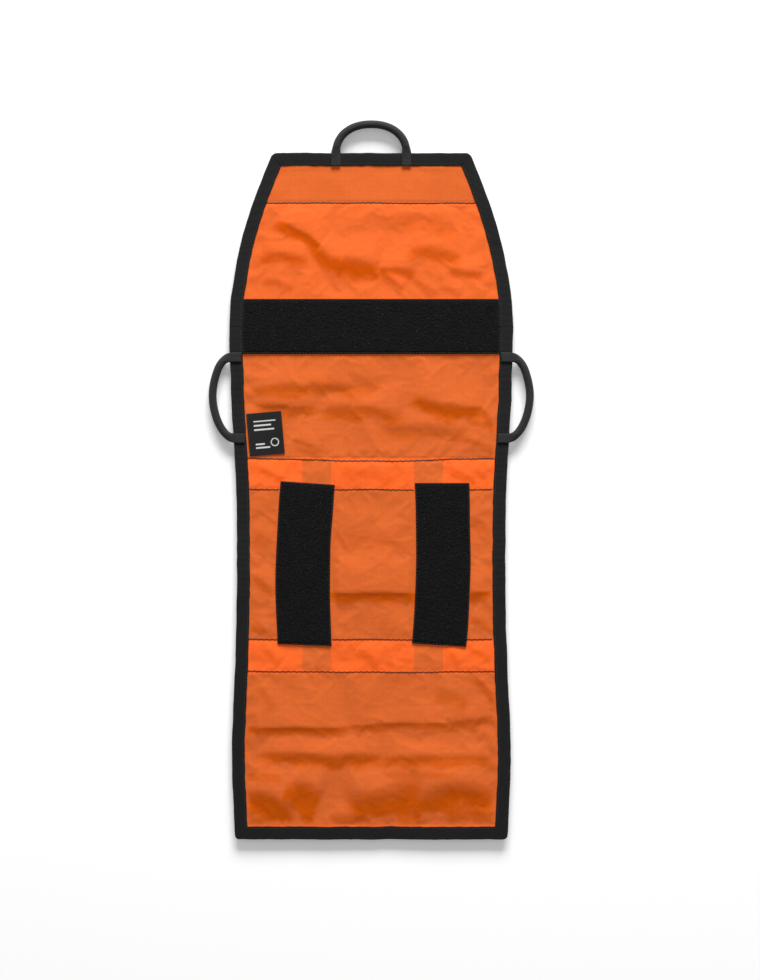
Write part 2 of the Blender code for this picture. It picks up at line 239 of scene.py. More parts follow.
def closedSheet(top, bottom, uv, normals=None, **extra):
    # an upper and a lower net of the same size, joined all round by a flat rim
    rows, columns = top.shape[:2]
    if normals is not None:
        normals = np.concatenate([normals.reshape(-1, 3), -normals.reshape(-1, 3)])
    upper = gridFaces(rows, columns)
    size = rows * columns
    net = np.arange(size).reshape(rows, columns)
    border = np.concatenate([net[0, :-1], net[:-1, -1], net[-1, :0:-1], net[:0:-1, 0]])
    nextBorder = np.roll(border, -1)
    rim = np.stack([border + size, nextBorder + size, nextBorder, border], -1)
    faces = np.concatenate([upper, upper[:, ::-1] + size, rim])
    smooth = np.concatenate([np.ones(2 * len(upper), bool), np.zeros(len(rim), bool)])
    points = np.concatenate([top.reshape(-1, 3), bottom.reshape(-1, 3)])
    extra = {key: np.tile(np.asarray(values).ravel(), 2) if np.size(values) == size else values
             for key, values in extra.items()}
    return part(points, faces, np.tile(uv.reshape(-1, 2), (2, 1)), smooth=smooth, normals=normals, **extra)


def place(x, station, rise):
    # points on the panel from x, station and rise arrays
    x, station, rise = np.broadcast_arrays(x, station, rise)
    return np.stack([x, station + bottomY, rise + middleZ], -1)


def layered(x, station, top, bottom):
    # a closed sheet between two rises, with uv in metres across and up the panel
    return closedSheet(place(x, station, top), place(x, station, bottom), np.stack([x, station], -1))


def runAlong(line):
    # the distance along a line to each of its points
    return np.concatenate([[0], np.cumsum(np.linalg.norm(np.diff(line, axis=0), axis=1))])


def alongLine(line, run, marks):
    # the points of a line at the given distances along it, where run is the distance to each of its own points
    return np.stack([np.interp(marks, run, line[:, k]) for k in range(line.shape[1])], -1)


def stitchPlaces(line, first, pitch, reach):
    # the middle and the heading of each stitch along a line, one each pitch
    run = runAlong(line)
    marks = np.arange(first, run[-1], pitch)
    behind, centres, ahead = (alongLine(line, run, marks + shift) for shift in (-reach, 0, reach))
    return centres, ahead - behind


def endsFlat(net):
    # which faces of a closed-ended tube are smooth: all but the first and last rows
    smooth = np.ones((net.shape[0] - 1, net.shape[1]), bool)
    smooth[[0, -1]] = False
    return smooth.ravel()


def tube(path, normals, section, **extra):
    # a section of (side, up) points carried along a path, turned to the path's own side and up, with closed ends
    path = np.asarray(path, float)
    tangent = np.gradient(path, axis=0)
    tangent /= np.linalg.norm(tangent, axis=1)[:, None]
    normals = normals - (normals * tangent).sum(1)[:, None] * tangent
    normals /= np.linalg.norm(normals, axis=1)[:, None]
    side = np.cross(normals, tangent)
    section = np.broadcast_to(section, (len(path),) + np.shape(section)[-2:])
    net = path[:, None] + side[:, None] * section[..., :1] + normals[:, None] * section[..., 1:]
    sides = np.linalg.norm(np.diff(section, axis=1), axis=2)
    around = np.concatenate([np.zeros((len(path), 1)), np.cumsum(sides, axis=1)], 1)
    uv = np.stack([np.broadcast_to(runAlong(path)[:, None], around.shape), around], -1)
    # each end closes on its own middle point, repeated as one more row
    net = np.concatenate([np.repeat(net[:1].mean(1, keepdims=True), net.shape[1], 1), net,
                          np.repeat(net[-1:].mean(1, keepdims=True), net.shape[1], 1)])
    uv = np.concatenate([uv[:1], uv, uv[-1:]])
    return part(net, gridFaces(*net.shape[:2], wrapColumns=True), uv, smooth=endsFlat(net), **extra)


def capsules(centres, directions, ups, length, radius, squashUp=1.0, sides=6, **extra):
    # many short rounded rods at once: one small template of rings, turned to each direction
    rings = np.array([-1, -0.93, -0.72, 0, 0.72, 0.93, 1.0])
    swell = np.array([0.05, 0.55, 0.93, 1.0, 0.93, 0.55, 0.05])
    cosine, sine = circle(sides)
    template = np.stack(np.broadcast_arrays(rings[:, None] * length / 2, swell[:, None] * cosine * radius,
                                            swell[:, None] * sine * radius * squashUp), -1).reshape(-1, 3)
    directions = np.broadcast_to(directions, centres.shape)
    directions = directions / np.linalg.norm(directions, axis=1)[:, None]
    ups = np.broadcast_to(ups, directions.shape)
    across = np.cross(ups, directions)
    across /= np.linalg.norm(across, axis=1)[:, None]
    ups = np.cross(directions, across)
    axes = np.stack([directions, across, ups], 1)
    points = centres[:, None] + np.einsum("tk,nkd->ntd", template, axes)
    one = gridFaces(len(rings), sides, wrapColumns=True)
    faces = (one[None] + np.arange(len(centres))[:, None, None] * len(template)).reshape(-1, 4)
    return part(points, faces, **extra)


# the shape of the cloth

crumple = dict(
    stiffWave=0.35 * mm, creaseShare=0.55, broadWave=0.4 * mm, fineRidge=0.12 * mm, tinyRidge=0.04 * mm,
    ripple=0.32 * mm, edgeRipple=0.32 * mm, lowest=-1.2 * mm, highest=4.2 * mm,
)

# creases: from (x, station) to (x, station), height, reach on the lit side and on the shaded side, bow, all in
# millimetres, then how crisp the crest is, from 0, a soft swell, to 1, a sharp fold
creases = [
    # flap
    (-84, 575, -46, 549, 2.6, 16, 7, 3, 0.7), (-50, 553, -20, 531, 2.6, 16, 9, -2, 0.5),
    (-102, 546, -60, 540, 1.9, 12, 7, 2, 0.2), (-40, 540, 8, 533, 2.8, 14, 10, 3, 0.3),
    (6, 531, 42, 528, 1.9, 12, 6, 1, 0.4), (35, 549, 84, 543, 1.9, 16, 8, 3, 0.2),
    (74, 531, 104, 527, 1.5, 9, 5, -1, 0.4), (12, 524, 30, 510, 1.3, 7, 4, 1, 0.5),
    (-100, 520, -72, 512, 0.9, 6, 4, 1, 0.4), (40, 520, 62, 508, 0.8, 6, 4, -1, 0.4),
    (20, 580, 80, 572, 0.8, 14, 9, 2, 0.0), (62, 514, 84, 507, 0.7, 6, 4, 1, 0.4),
    # upper section
    (-108, 422, -14, 420, 1.9, 12, 8, 3, 0.2), (-104, 407, -50, 405, 1.7, 11, 8, -2, 0.1),
    (-44, 401, 30, 396, 1.9, 12, 9, 5, 0.1), (40, 414, 104, 403, 2.7, 14, 9, -4, 0.3),
    (102, 404, 118, 378, 1.6, 8, 6, 2, 0.4), (10, 385, 90, 380, 1.1, 12, 8, 1, 0.1),
    (84, 374, 116, 364, 1.0, 7, 4, -1, 0.4), (-74, 372, -44, 362, 0.9, 7, 4, 1, 0.5),
    (-60, 432, 10, 431, 0.9, 12, 9, -3, 0.0), (-70, 364, -48, 358, 0.6, 5, 3, 0, 0.6),
    (92, 390, 117, 384, 0.8, 6, 4, 1, 0.5), (98, 366, 116, 358, 0.8, 6, 3, 0, 0.5),
    # between the seams
    (-104, 348, -80, 335, 0.9, 8, 4, 0, 0.3), (72, 346, 100, 334, 1.0, 8, 5, 0, 0.3),
    (94, 345, 114, 334, 0.9, 7, 4, 0, 0.4), (-28, 347, 24, 337, 0.6, 9, 6, 1, 0.1),
    (-12, 178, 8, 162, 0.9, 8, 5, 1, 0.4), (-100, 178, -84, 164, 0.8, 7, 4, 1, 0.3),
    (72, 180, 84, 164, 0.8, 7, 5, -1, 0.4), (92, 178, 112, 168, 0.8, 7, 4, 1, 0.4),
    # middle section
    (-44, 229, 46, 228, 3.4, 30, 6.5, 0.5, 1.0), (84, 230, 118, 230, 2.8, 24, 6, 0, 1.0),
    (-116, 250, -92, 230, 1.3, 8, 5, 2, 0.4), (-114, 216, -94, 192, 1.3, 8, 5, -1, 0.5),
    (-116, 202, -98, 192, 1.1, 6, 4, 0, 0.5), (-34, 285, 36, 281, 0.6, 14, 9, 2, 0.0),
    (-114, 290, -92, 280, 0.8, 9, 6, 1, 0.2), (92, 300, 114, 292, 0.8, 9, 6, 1, 0.2),
    (92, 208, 116, 200, 1.1, 8, 5, 1, 0.4),
    # lower section
    (-122, 105, -20, 106, 2.4, 18, 5, -1.5, 1.0), (-28, 106, 76, 108, 1.8, 15, 4.5, 1, 0.9),
    (66, 108, 118, 115, 1.5, 12, 5, 1, 0.7), (-100, 83, 10, 80, 2.3, 10, 8, -1, 0.3),
    (6, 79, 112, 78, 2.0, 10, 8, 2, 0.3), (-118, 61, -84, 61, 1.3, 8, 5, 1, 0.5),
    (12, 64, 78, 63, 1.2, 9, 5, 1, 0.4), (-118, 46, -70, 30, 4.2, 20, 14, 6, 0.1),
    (-76, 56, -44, 44, 3.0, 14, 17, 4, 0.2), (-24, 46, 40, 62, 4.0, 18, 19, -6, 0.1),
    (34, 40, 112, 50, 4.4, 20, 17, 9, 0.1), (98, 152, 120, 124, 1.7, 9, 5, 2, 0.5),
    (60, 140, 90, 134, 1.0, 12, 9, 2, 0.1), (-100, 144, -88, 122, 0.9, 8, 6, 1, 0.3),
    (96, 28, 118, 20, 1.2, 7, 5, 0, 0.4), (-116, 22, -98, 16, 1.0, 6, 4, 0, 0.4),
    (-36, 24, 6, 17, 1.4, 9, 6, 2, 0.2),
]

seamStations = [stationBox("closure_hook_strip")[2] - 0.6 * mm, stationBox("webbing_band_left")[3] + 3.3 * mm,
                stationBox("middle_pocket_header")[3] - 1.0 * mm, stationBox("middle_pocket_front")[2] + 0.3 * mm,
                foldStation["lower_fold"]]
stripNames = ("closure_loop_left", "closure_loop_right", "rear_loop_band", "closure_hook_strip", "care_label")


def webbingSpans():
    # (x low, x high) of each webbing strap
    return [stationBox("webbing_middle_left")[:2], stationBox("webbing_middle_right")[:2]]


def patchNoise(x, y, cell, seed):
    # gradient noise from about -1 to 1: random slopes on a square lattice, eased between its points
    turns = np.random.default_rng(seed).uniform(0, 2 * math.pi, (128, 128))
    gx, gy = np.broadcast_arrays(np.asarray(x, float) / cell + 61.3, np.asarray(y, float) / cell + 17.7)
    ix, iy = np.floor(gx).astype(int), np.floor(gy).astype(int)
    fx, fy = gx - ix, gy - iy
    tx, ty = (f * f * f * (f * (f * 6 - 15) + 10) for f in (fx, fy))
    corner = {}
    for i in (0, 1):
        for j in (0, 1):
            turn = turns[(ix + i) % 128, (iy + j) % 128]
            corner[i, j] = np.cos(turn) * (fx - i) + np.sin(turn) * (fy - j)
    low = corner[0, 0] + (corner[1, 0] - corner[0, 0]) * tx
    high = corner[0, 1] + (corner[1, 1] - corner[0, 1]) * tx
    return 1.5 * (low + (high - low) * ty)


def stiffRise(x, station):
    # the slow wave that everything sewn to the cloth shares
    return crumple["stiffWave"] * (patchNoise(x, station, 0.07, 3) + 0.5 * patchNoise(x, station, 0.035, 4))


def creaseWarp(x, station):
    # small shifts that keep the creases from running dead straight
    warpS = station + 1.2 * mm * patchNoise(x, station, 0.040, 13) + 0.4 * mm * patchNoise(x, station, 0.012, 14)
    return x + 2.5 * mm * patchNoise(x, station, 0.030, 11), warpS


def creaseFrame(x, station, line, bow):
    # along the crease from 0 to 1, and the distance above its bowed line
    x0, s0, x1, s1 = (v * mm for v in line)
    dx, ds = x1 - x0, s1 - s0
    length = math.hypot(dx, ds)
    t = ((x - x0) * dx + (station - s0) * ds) / length ** 2
    return t, ((station - s0) * dx - (x - x0) * ds) / length - 4 * bow * mm * t * (1 - t)


def creaseRise(x, station, crease):
    # a ridge along a bowed line: a wide bell on its upper side, a shorter fall below, fading out at both ends
    height, lit, shaded = (v * mm for v in crease[4:7])
    t, away = creaseFrame(x, station, crease[:4], crease[7])
    fall = np.where(away > 0, np.abs(away / lit) ** 1.8, np.abs(away / shaded) ** (1.9 - 0.85 * crease[8]))
    ends = easing(t / 0.3 + 0.3) * easing((1 - t) / 0.3 + 0.3)
    return height * ends * np.exp(-fall)


def foldShade(x, station):
    # painted shade in the hollow just under a crease: 1 there, fading raggedly to 0 away from it
    warpX, warpS = creaseWarp(x, station)
    ragged = 1 + 0.45 * patchNoise(x, station, 0.022, 51) + 0.12 * patchNoise(x, station, 0.006, 52)
    shade = np.zeros(x.shape)
    for x0, s0, x1, s1, height, _, shaded, bow, crisp in creases:
        rows = np.abs(station[:, 0] / mm - (s0 + s1) / 2) < abs(s1 - s0) / 2 + 3 * shaded + abs(bow) + 8
        t, away = creaseFrame(warpX[rows], warpS[rows], (x0, s0, x1, s1), bow)
        depth = -away / (2.1 * shaded * mm * ragged[rows])
        across = easing((depth + 0.12 * (1 - crisp)) / (0.08 + 0.5 * (1 - crisp)))
        across *= easing((1 - depth) / (0.35 + 0.3 * crisp))
        ends = easing(t / 0.22 + 0.5) * easing((1 - t) / 0.22 + 0.5)
        shade[rows] = np.maximum(shade[rows], min(1.0, height / 2.6) * across * ends)
    inside = edgeDistance(x, station) - bindingWidth
    return shade * easing(inside / (5 * mm)) * (1 - 0.8 * seamPull(station, 4 * mm))


def edgeDistance(x, station):
    # how far inside the panel's outline a point is
    inward, _ = edgeLean(station)
    return np.minimum(np.minimum((halfWidth(station) - np.abs(x)) * inward, station), panelLength - station)


def stripCover(x, station, margin=6 * mm):
    # 1 under the sewn-on strips and the label, fading to 0 beyond them
    cover = np.zeros(np.broadcast(x, station).shape)
    for name in stripNames:
        x0, x1, s0, s1 = stationBox(name)
        outX, outS = np.maximum(x0 - x, x - x1), np.maximum(s0 - station, station - s1)
        cover = np.maximum(cover, 1 - easing(np.hypot(np.maximum(outX, 0), np.maximum(outS, 0)) / margin))
    return cover


def seamPull(station, reach):
    # 1 on a cross seam, fading to 0 away from it
    return np.max([1 - easing(np.abs(station - seam) / reach) for seam in seamStations], axis=0)


def laidRise(x, station):
    # how far the cloth stands above its flat place: the stiff wave, and creases and crumples where it is free
    x, station = np.broadcast_arrays(np.asarray(x, float), np.asarray(station, float))
    warpX, warpS = creaseWarp(x, station)
    hand = np.zeros(x.shape)
    for crease in creases:
        ridge = crumple["creaseShare"] * creaseRise(warpX, warpS, crease)
        hand = np.maximum(hand, 0.75 * ridge) + 0.25 * ridge
    broad = crumple["broadWave"] * patchNoise(warpX, warpS * 1.4, 0.045, 21)
    folds = 1 - np.abs(patchNoise(warpX + 0.4 * warpS, warpS * 1.9, 0.026, 22)) * 2.2
    fine = crumple["fineRidge"] * np.clip(folds, -0.2, 1) ** 3
    folds = 1 - np.abs(patchNoise(warpX - 0.5 * warpS, warpS * 1.5, 0.011, 23)) * 2.4
    tiny = crumple["tinyRidge"] * np.clip(folds, -0.2, 1) * (0.5 + 0.5 * patchNoise(x, station, 0.05, 24))
    inside = edgeDistance(x, station) - bindingWidth
    free = easing(inside / (15 * mm)) * (1 - stripCover(x, station)) * (1 - 0.92 * seamPull(station, 9 * mm))
    rise = free * (hand + broad + fine + tiny)
    # short puckers where the cloth is gathered into a seam or the binding
    gather = np.sin(x / (3.1 * mm) + 2.6 * patchNoise(x, station, 0.02, 31))
    gather = gather * (0.55 + 0.45 * patchNoise(x, station, 0.015, 32))
    seamAway = np.min([np.abs(station - seam) for seam in seamStations], axis=0)
    beside = seamPull(station, 8 * mm) * easing(seamAway / (1.6 * mm))
    rise = rise + crumple["ripple"] * gather * beside * (1 - stripCover(x, station)) * easing(inside / (4 * mm))
    gather = np.sin(station / (3.4 * mm) + 2.4 * patchNoise(x, station, 0.03, 33))
    gather = gather * (0.5 + 0.5 * patchNoise(x, station, 0.02, 34))
    beside = easing(inside / (2 * mm)) * (1 - easing((inside - 3 * mm) / (11 * mm)))
    rise = rise + crumple["edgeRipple"] * gather * beside - 0.35 * mm * seamPull(station, 1.5 * mm)
    return stiffRise(x, station) + np.clip(rise, crumple["lowest"], crumple["highest"])


simLook = dict(step=2.3 * mm, frames=14, spare=0.0010, bending=1.5, tension=12.0, mass=0.12, damping=3.0, quality=4,
               sink=-0.9 * mm, sinkOverStraps=-0.2 * mm, peak=4.6 * mm)


def simulateCloth():
    # the whole cloth as one sheet, cut slightly too big and held at its seams, binding and strips, so it buckles
    rows = round(panelLength / simLook["step"]) + 1
    columns = round(2 * float(halfWidth(0.1)) / simLook["step"]) + 1
    station = np.linspace(0, panelLength, rows)[:, None] * np.ones((1, columns))
    x = np.linspace(-1, 1, columns)[None, :] * halfWidth(station)
    rise = laidRise(x, station)
    mesh = bpy.data.meshes.new("clothRest")
    mesh.from_pydata(place(x, station, rise).reshape(-1, 3), [], gridFaces(rows, columns))
    sheet = bpy.data.objects.new("clothRest", mesh)
    bpy.context.scene.collection.objects.link(sheet)
    inside = edgeDistance(x, station) - bindingWidth
    held = np.max([1 - easing(inside / (2.5 * mm)), stripCover(x, station, 2.5 * mm),
                   seamPull(station, 3.0 * mm)], axis=0)
    group = sheet.vertex_groups.new(name="held")
    for level in (1.0, 0.6, 0.3):
        where = np.nonzero((held.ravel() >= level - 0.15) & (held.ravel() < level + 0.25))[0]
        group.add(where.tolist(), level, "REPLACE")
    cloth = sheet.modifiers.new("cloth", "CLOTH")
    cloth.point_cache.frame_end = simLook["frames"]
    tension = simLook["tension"]
    settings = dict(quality=simLook["quality"], mass=simLook["mass"], tension_stiffness=tension,
                    compression_stiffness=tension, shear_stiffness=tension / 3,
                    bending_stiffness=simLook["bending"], air_damping=simLook["damping"],
                    vertex_group_mass="held", shrink_min=-simLook["spare"])
    for key, value in settings.items():
        setattr(cloth.settings, key, value)
    cloth.settings.effector_weights.gravity = 0
    cloth.collision_settings.use_collision = False
    for step in range(1, simLook["frames"] + 1):
        bpy.context.scene.frame_set(step)
    settled = sheet.evaluated_get(bpy.context.evaluated_depsgraph_get()).to_mesh()
    points = np.empty(len(settled.vertices) * 3, np.float32)
    settled.vertices.foreach_get("co", points)
    bpy.data.objects.remove(sheet)
    bpy.context.scene.frame_set(1)
    moved = points.reshape(rows, columns, 3)[..., 2] - middleZ
    print("cloth simulated:", rows * columns, "points, rise", round(float(moved.min()), 5), "to",
          round(float(moved.max()), 5))
    straps = np.zeros(x.shape, bool)
    for x0, x1 in webbingSpans():
        straps |= np.abs(x - (x0 + x1) / 2) < (x1 - x0) / 2 + 2 * mm
    straps &= (station > foldStation["lower_fold"] - 2 * mm) & (station < seamStations[1] + 2 * mm)
    sink = np.where(straps, simLook["sinkOverStraps"], simLook["sink"])
    return np.clip(moved, stiffRise(x, station) + sink, simLook["peak"])


settledRise = simulateCloth()


def clothRise(x, station):
    # the settled height between the simulated points, by a smooth cubic through four points each way
    x, station = np.broadcast_arrays(np.asarray(x, float), np.asarray(station, float))
    rows, columns = settledRise.shape
    row = np.clip(station / panelLength * (rows - 1), 0, rows - 1.001)
    column = np.clip((x / halfWidth(station) + 1) / 2 * (columns - 1), 0, columns - 1.001)
    r, c = np.floor(row).astype(int), np.floor(column).astype(int)

    def weights(t):
        return (0.5 * (-t + 2 * t ** 2 - t ** 3), 0.5 * (2 - 5 * t ** 2 + 3 * t ** 3),
                0.5 * (t + 4 * t ** 2 - 3 * t ** 3), 0.5 * (t ** 3 - t ** 2))

    total = 0
    for i, down in enumerate(weights(row - r)):
        for j, over in enumerate(weights(column - c)):
            near = np.clip(r + i - 1, 0, rows - 1), np.clip(c + j - 1, 0, columns - 1)
            total = total + down * over * settledRise[near]
    return total


def underRise(x, station):
    # the pocket side follows the cloth above it at a part of its height
    stiff = stiffRise(x, station)
    return np.clip(stiff + 0.35 * (clothRise(x, station) - stiff), -0.4 * mm, 1.2 * mm)


print("cloth:", len(creases), "creases by hand,", len(seamStations), "cross seams")


# shader helpers

def addNode(tree, kind, inputs=None, **settings):
    # a shader node with its settings, and its sockets given values or links
    made = tree.nodes.new(kind)
    for key, value in settings.items():
        setattr(made, key, value)
    linkOrSet(tree, made, inputs or {})
    return made


def linkOrSet(tree, made, inputs):
    # each socket linked when its value is another node's output, and set when it is a number or a colour
    for key, value in inputs.items():
        if isinstance(value, bpy.types.NodeSocket):
            tree.links.new(value, made.inputs[key])
        else:
            made.inputs[key].default_value = value


def sums(tree, operation, a, b=0.0, c=0.0):
    # one sum on two or three values
    return addNode(tree, "ShaderNodeMath", {0: a, 1: b, 2: c}, operation=operation).outputs[0]


def times(tree, a, b):
    # the product of two values
    return sums(tree, "MULTIPLY", a, b)


def scaledColour(tree, colour, shade):
    # a colour made lighter or darker by a factor
    return addNode(tree, "ShaderNodeVectorMath", {0: colour, "Scale": shade}, operation="SCALE").outputs[0]


def blendColour(tree, factor, a, b, kind="MIX"):
    # from colour a at factor 0 to colour b at factor 1
    mix = addNode(tree, "ShaderNodeMix", {0: factor, 6: a, 7: b}, data_type="RGBA", blend_type=kind)
    return mix.outputs[2]


def remap(tree, value, low, high, toLow=0.0, toHigh=1.0):
    # a straight line from (low, toLow) to (high, toHigh), held level beyond them
    return addNode(tree, "ShaderNodeMapRange", {0: value, 1: low, 2: high, 3: toLow, 4: toHigh}).outputs[0]


def noiseValue(tree, vector, scale, detail=3.0, rough=0.55, distortion=0.0):
    # smooth noise from 0 to 1
    inputs = {"Vector": vector, "Scale": scale, "Detail": detail, "Roughness": rough, "Distortion": distortion}
    return addNode(tree, "ShaderNodeTexNoise", inputs).outputs["Fac"]


def makeGroup(name, inputs, outputs):
    # an empty node group with named float, vector or colour sockets; returns it with its input and output nodes
    kinds = dict(value="NodeSocketFloat", vector="NodeSocketVector", colour="NodeSocketColor")
    tree = bpy.data.node_groups.new(name, "ShaderNodeTree")
    for label, kind, start in inputs:
        socket = tree.interface.new_socket(label, in_out="INPUT", socket_type=kinds[kind])
        if start is not None:
            socket.default_value = start
    for label, kind in outputs:
        tree.interface.new_socket(label, in_out="OUTPUT", socket_type=kinds[kind])
    return tree, tree.nodes.new("NodeGroupInput"), tree.nodes.new("NodeGroupOutput")


def useGroup(tree, group, **inputs):
    # a node group placed in a material with its own values; returns its outputs
    return addNode(tree, "ShaderNodeGroup", inputs, node_tree=group).outputs


def threadWave(tree, value, pitch):
    # 0 to 1 and back once each pitch
    wave = sums(tree, "SINE", times(tree, value, 2 * math.pi / pitch))
    return sums(tree, "MULTIPLY_ADD", wave, 0.5, 0.5)


def weaveGroup():
    # plain weave with a heavier thread every few millimetres: height, and a mask of the heavy threads
    inputs = [("Vector", "vector", None), ("Pitch", "value", 0.0004), ("Grid", "value", 0.005)]
    tree, inside, outside = makeGroup("plainWeave", inputs, [("Height", "value"), ("Grid", "value")])
    split = addNode(tree, "ShaderNodeSeparateXYZ", {0: inside.outputs["Vector"]})
    lines, waves = [], []
    for axis in (0, 1):
        turns = sums(tree, "DIVIDE", split.outputs[axis], inside.outputs["Pitch"])
        waves.append(sums(tree, "SINE", times(tree, turns, 2 * math.pi)))
        turns = sums(tree, "DIVIDE", split.outputs[axis], inside.outputs["Grid"])
        near = sums(tree, "ABSOLUTE", sums(tree, "SUBTRACT", sums(tree, "FRACT", turns), 0.5))
        lines.append(remap(tree, near, 0.43, 0.48))
    weave = times(tree, waves[0], waves[1])
    heavy = sums(tree, "MAXIMUM", lines[0], lines[1])
    height = sums(tree, "MULTIPLY_ADD", weave, 0.35, heavy)
    tree.links.new(height, outside.inputs["Height"])
    tree.links.new(heavy, outside.inputs["Grid"])
    return tree


def ribGroup():
    # a ribbed tape: threads along and across, with worn, uneven ribs
    inputs = [("Vector", "vector", None), ("Rib", "value", 0.001), ("Thread", "value", 0.0006)]
    tree, inside, outside = makeGroup("ribbedTape", inputs, [("Height", "value"), ("Tone", "value")])
    split = addNode(tree, "ShaderNodeSeparateXYZ", {0: inside.outputs["Vector"]})
    waves = []
    for axis, socket in ((0, "Rib"), (1, "Thread")):
        turns = sums(tree, "DIVIDE", split.outputs[axis], inside.outputs[socket])
        waves.append(sums(tree, "MULTIPLY_ADD", sums(tree, "SINE", times(tree, turns, 2 * math.pi)), 0.5, 0.5))
    grain = noiseValue(tree, inside.outputs["Vector"], 900, 2)
    height = sums(tree, "ADD", waves[0], times(tree, waves[1], 0.35))
    tone = sums(tree, "MULTIPLY_ADD", height, 0.45, times(tree, grain, 0.6))
    tree.links.new(height, outside.inputs["Height"])
    tree.links.new(tone, outside.inputs["Tone"])
    return tree


def wearGroup():
    # handling marks: a slow uneven tone, and sparse pale dust specks
    inputs = [("Vector", "vector", None), ("Patch", "value", 18.0), ("Speck", "value", 1100.0),
              ("Dust", "value", 0.5)]
    tree, inside, outside = makeGroup("wearAndDust", inputs, [("Tone", "value"), ("Dust", "value")])
    slow = noiseValue(tree, inside.outputs["Vector"], inside.outputs["Patch"], 4, 0.6)
    specks = noiseValue(tree, inside.outputs["Vector"], inside.outputs["Speck"], 1, 0.5)
    dust = remap(tree, specks, 0.68, 0.82)
    dust = times(tree, dust, inside.outputs["Dust"])
    tree.links.new(remap(tree, slow, 0.3, 0.7), outside.inputs["Tone"])
    tree.links.new(dust, outside.inputs["Dust"])
    return tree


weave, ribs, wear = weaveGroup(), ribGroup(), wearGroup()


def finishBase(name, roughness, sheen, specular, wearValues, space="uv"):
    # a material with its principled shader, the piece's own uv or object coordinates, and the shared wear on them
    material = bpy.data.materials.new(name)
    material.use_nodes = True
    tree = material.node_tree
    shader = tree.nodes["Principled BSDF"]
    shader.inputs["Roughness"].default_value = roughness
    shader.inputs["Specular IOR Level"].default_value = specular
    shader.inputs["Sheen Weight"].default_value = sheen
    if space == "uv":
        vector = addNode(tree, "ShaderNodeUVMap", uv_map="maker").outputs[0]
    else:
        vector = addNode(tree, "ShaderNodeTexCoord").outputs["Object"]
    patch, speck, dust = wearValues
    marks = useGroup(tree, wear, Vector=vector, Patch=patch, Speck=speck, Dust=dust)
    return material, tree, shader, vector, marks


def finishUp(material, tree, shader, colour, height, strength, distance):
    # the colour, and the height as a bump, onto the shader
    bump = addNode(tree, "ShaderNodeBump", {"Strength": strength, "Distance": distance, "Height": height})
    tree.links.new(colour, shader.inputs["Base Color"])
    tree.links.new(bump.outputs[0], shader.inputs["Normal"])
    return material


def layerValue(tree, name):
    # a named value stored on the piece's points
    return addNode(tree, "ShaderNodeAttribute", attribute_name=name).outputs["Fac"]


def paler(colour, factor):
    # a colour's red, green and blue times a factor
    return tuple(factor * value for value in colour[:3]) + (1,)


# the cloth's colours: bright where light comes through the bare single cloth, painted shade over what lies behind it
# and in crease hollows, pale dust, and a faint glow for light through the cloth
ripstop = dict(bright=(0.94, 0.145, 0.026, 1), backedShade=(0.640, 0.130, 0.029, 1), webbedShade=(0.68, 0.136, 0.030, 1),
               folded=(0.85, 0.66, 0.12, 1), pale=(0.98, 0.26, 0.08, 1), through=(1.0, 0.07, 0.0, 1), glow=0.055)


def ripstopCloth():
    # thin coated cloth: brighter where nothing dark lies behind and light comes through it, and painted shade,
    # darker, over mesh and webbing
    material, tree, shader, vector, marks = finishBase("ripstopCloth", 0.5, 0.0, 0.0, (26.0, 900.0, 0.25))
    # the light that comes through thin cloth
    shader.inputs["Emission Color"].default_value = ripstop["through"]
    shader.inputs["Emission Strength"].default_value = ripstop["glow"]
    cloth = useGroup(tree, weave, Vector=vector)
    # painted shade: darker where mesh, strips or webbing lie behind the cloth
    colour = blendColour(tree, layerValue(tree, "backing"), ripstop["bright"], ripstop["backedShade"])
    colour = blendColour(tree, layerValue(tree, "webbing"), colour, ripstop["webbedShade"])
    # painted shade in the hollows under the creases, darker and redder
    colour = blendColour(tree, layerValue(tree, "fold"), colour, ripstop["folded"], "MULTIPLY")
    shade = remap(tree, marks["Tone"], 0, 1, 0.95, 1.04)
    shade = times(tree, shade, remap(tree, cloth["Grid"], 0, 1, 1.0, 0.955))
    rub = noiseValue(tree, vector, 160, 4, 0.65)
    shade = times(tree, shade, remap(tree, rub, 0.3, 0.7, 0.96, 1.04))
    colour = blendColour(tree, marks["Dust"], scaledColour(tree, colour, shade), ripstop["pale"])
    tree.links.new(remap(tree, rub, 0.3, 0.7, 0.62, 0.74), shader.inputs["Roughness"])
    crinkle = noiseValue(tree, vector, 210, 3, 0.6, 0.6)
    height = sums(tree, "MULTIPLY_ADD", cloth["Height"], 0.05, crinkle)
    return finishUp(material, tree, shader, colour, height, 0.22, 0.0005)


def ribbedFinish(name, dark, light, roughness, rib, thread, depth=0.0003, sheenWearLayer=None):
    # a woven tape, webbing or label ground
    material, tree, shader, vector, marks = finishBase(name, roughness, 0.04, 0.12, (30.0, 1300.0, 0.35))
    tape = useGroup(tree, ribs, Vector=vector, Rib=rib, Thread=thread)
    tone = times(tree, remap(tree, tape["Tone"], 0.1, 0.9), remap(tree, marks["Tone"], 0, 1, 0.6, 1.0))
    colour = blendColour(tree, tone, dark, light)
    if sheenWearLayer:
        # painted sheen with some wear: the tape's rounded edge made paler
        grown = times(tree, layerValue(tree, sheenWearLayer), marks["Tone"])
        colour = blendColour(tree, times(tree, grown, 0.5), colour, paler(light, 1.8))
    colour = blendColour(tree, marks["Dust"], colour, paler(light, 2.5))
    return finishUp(material, tree, shader, colour, tape["Height"], 0.6, depth)


